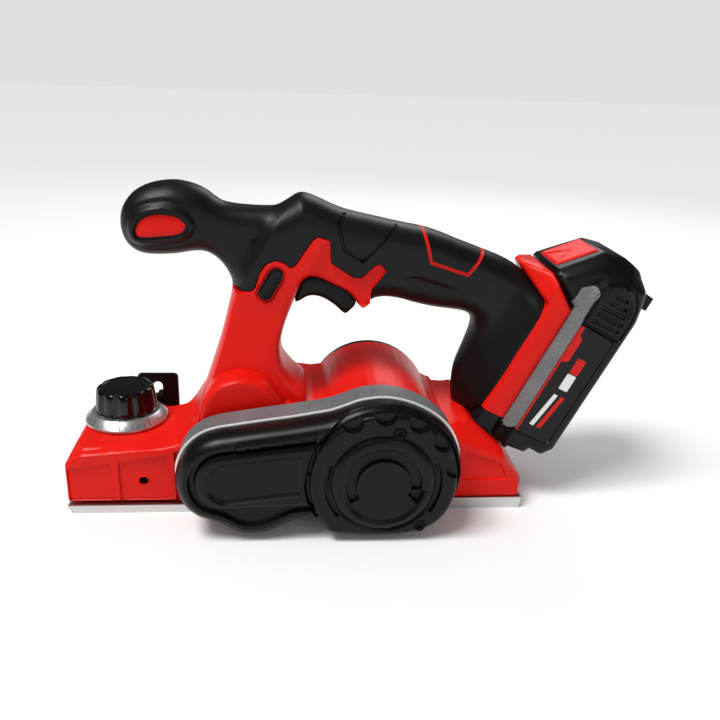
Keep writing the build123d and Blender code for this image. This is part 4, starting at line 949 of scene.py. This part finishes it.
gloss_black = moulded("black_gloss_abs", "#070707", 0.15, 3.0, 0.03, tone=0.1, shine=0.4)
knob_form = [
    (17.0, 49.95, 0.2), (18.7, 49.95, 0.6), (19.0, 50.5, 1), (18.9, 54, 1), (18.4, 59, 1), (17.8, 63.2, 1),
    (17.3, 64.5, 0.9), (16.4, 65.2, 0.5), (15.6, 65.4, 0.15), (14.6, 65.4, 0), (14.0, 65.0, 0),
    (7, 65.2, 0), (1.0, 65.6, 0)]
verts, faces = turned(knob_form, 360, 11, 1.7, 0.018)
put_mesh("depth_knob_fluted", verts, faces, [gloss_black], "knob", ["depth_knob"], sharp=35)

satin_silver = brushed_metal("satin_silver_ring", "#cfd0d1", 0.30, 0.12, axis=2, metallic=0.85)
ring_form = [
    (19.5, 43.5, 0), (25.0, 43.5, 0), (25.5, 43.9, 0), (25.5, 45.1, 0), (25.2, 45.5, 0), (21.3, 49.5, 0),
    (20.8, 49.8, 0), (19.5, 49.8, 0)]
verts, faces = turned(ring_form, 180)
put_mesh("scale_ring_cone", verts, faces, [satin_silver], "knob", ["scale_ring"])
mark_black = moulded("printed_mark_black", "#101010", 0.5, 2.0, 0.02)
verts, faces = [], []
for k in range(40):
    a, wide = 2 * math.pi * k / 40, 0.35 if k % 5 else 0.5
    r0, r1 = 25.0, (23.3 if k % 5 else 21.9)
    for r, up_by in ((r0, 0.06), (r1, 0.06), (r0, -0.3), (r1, -0.3)):
        z = 45.5 + (25.2 - r) * 4.0 / 3.9 + up_by
        for s in (-wide / 2, wide / 2):
            verts.append((knob_at[0] + r * math.cos(a) - s * math.sin(a),
                          r * math.sin(a) + s * math.cos(a), z))
    b = 8 * k
    faces += [[b, b + 1, b + 3, b + 2], [b + 4, b + 6, b + 7, b + 5], [b, b + 4, b + 5, b + 1],
              [b + 2, b + 3, b + 7, b + 6], [b, b + 2, b + 6, b + 4], [b + 1, b + 5, b + 7, b + 3]]
put_mesh("scale_marks", verts, faces, [mark_black], "knob", ())
paint_node("depth_stop", cover_black)
paint_node("stop_knob", cover_black)

# Index mark beside the ring: a low wedge moulded on the deck.
mark_edge = rounded([
    (-84.4, -2.6, 0.6), (-80.6, -3.4, 0.6), (-75.2, -3.4, 1), (-75.2, 3.4, 1), (-80.6, 3.4, 0.6),
    (-84.4, 2.6, 0.6)])
pts, tris = web(mark_edge, rims(mark_edge, 0.3, 0.8), 1.5)
rise = 43.0 + np.interp(pts[:, 0], [-84.4, -82, -75], [0.5, 1.5, 0.9])
rise -= np.interp(distance(pts, mark_edge), [0, 0.3, 0.8], [0.5, 0.15, 0])
verts, faces = two_sided(pts, tris, -42.0, rise, at=lambda v: v[:, [0, 2, 1]])
put_mesh("index_wedge", verts, [f[::-1] for f in faces], [red_abs], "housing", ["depth_pointer"])

# ------------------------ works inside and small fittings
# Cutter drum and pulleys of extruded aluminium, ground steel knives and shafts, brass
# inserts and terminals, a ribbed rubber belt, wrapped cells and the electronics.
extruded = brushed_metal("extruded_aluminium", "#b9bcbf", 0.35, 0.8, axis=1)
ground = brushed_metal("ground_steel", "#a9acb0", 0.24, 0.3, axis=1)
brass = brushed_metal("turned_brass", "#c69a4c", 0.3, 0.4, axis=1)
rubber = moulded("vulcanised_rubber", "#151516", 0.75, 0.4, 0.5)
green_board = moulded("solder_mask_green", "#1d5b36", 0.3, 1.5, 0.1)
blue_wrap = moulded("shrink_film_blue", "#2a5f9e", 0.3, 3.0, 0.1)
for mat, names in ((extruded, ("drum", "drum_pulley", "motor_pulley")),
                   (ground, ("knives", "knife_clamps", "drum_bearings", "motor_can", "motor_bearings",
                             "rotor_shaft", "rotor_core", "depth_spindle")),
                   (brass, ("brushes", "stop_insert", "terminal_blades")),
                   (black_oxide, ("knife_screws", "cover_screws", "handle_screws")),
                   (rubber, ("drive_belt",)), (green_board, ("control_board", "pack_board")),
                   (blue_wrap, ("pack_cells",)),
                   (cover_black, ("fan", "bearing_cap", "chip_spigot", "switch_box", "pack_stop",
                                  "terminal_block"))):
    for name in names:
        paint_node(name, mat)

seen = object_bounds()
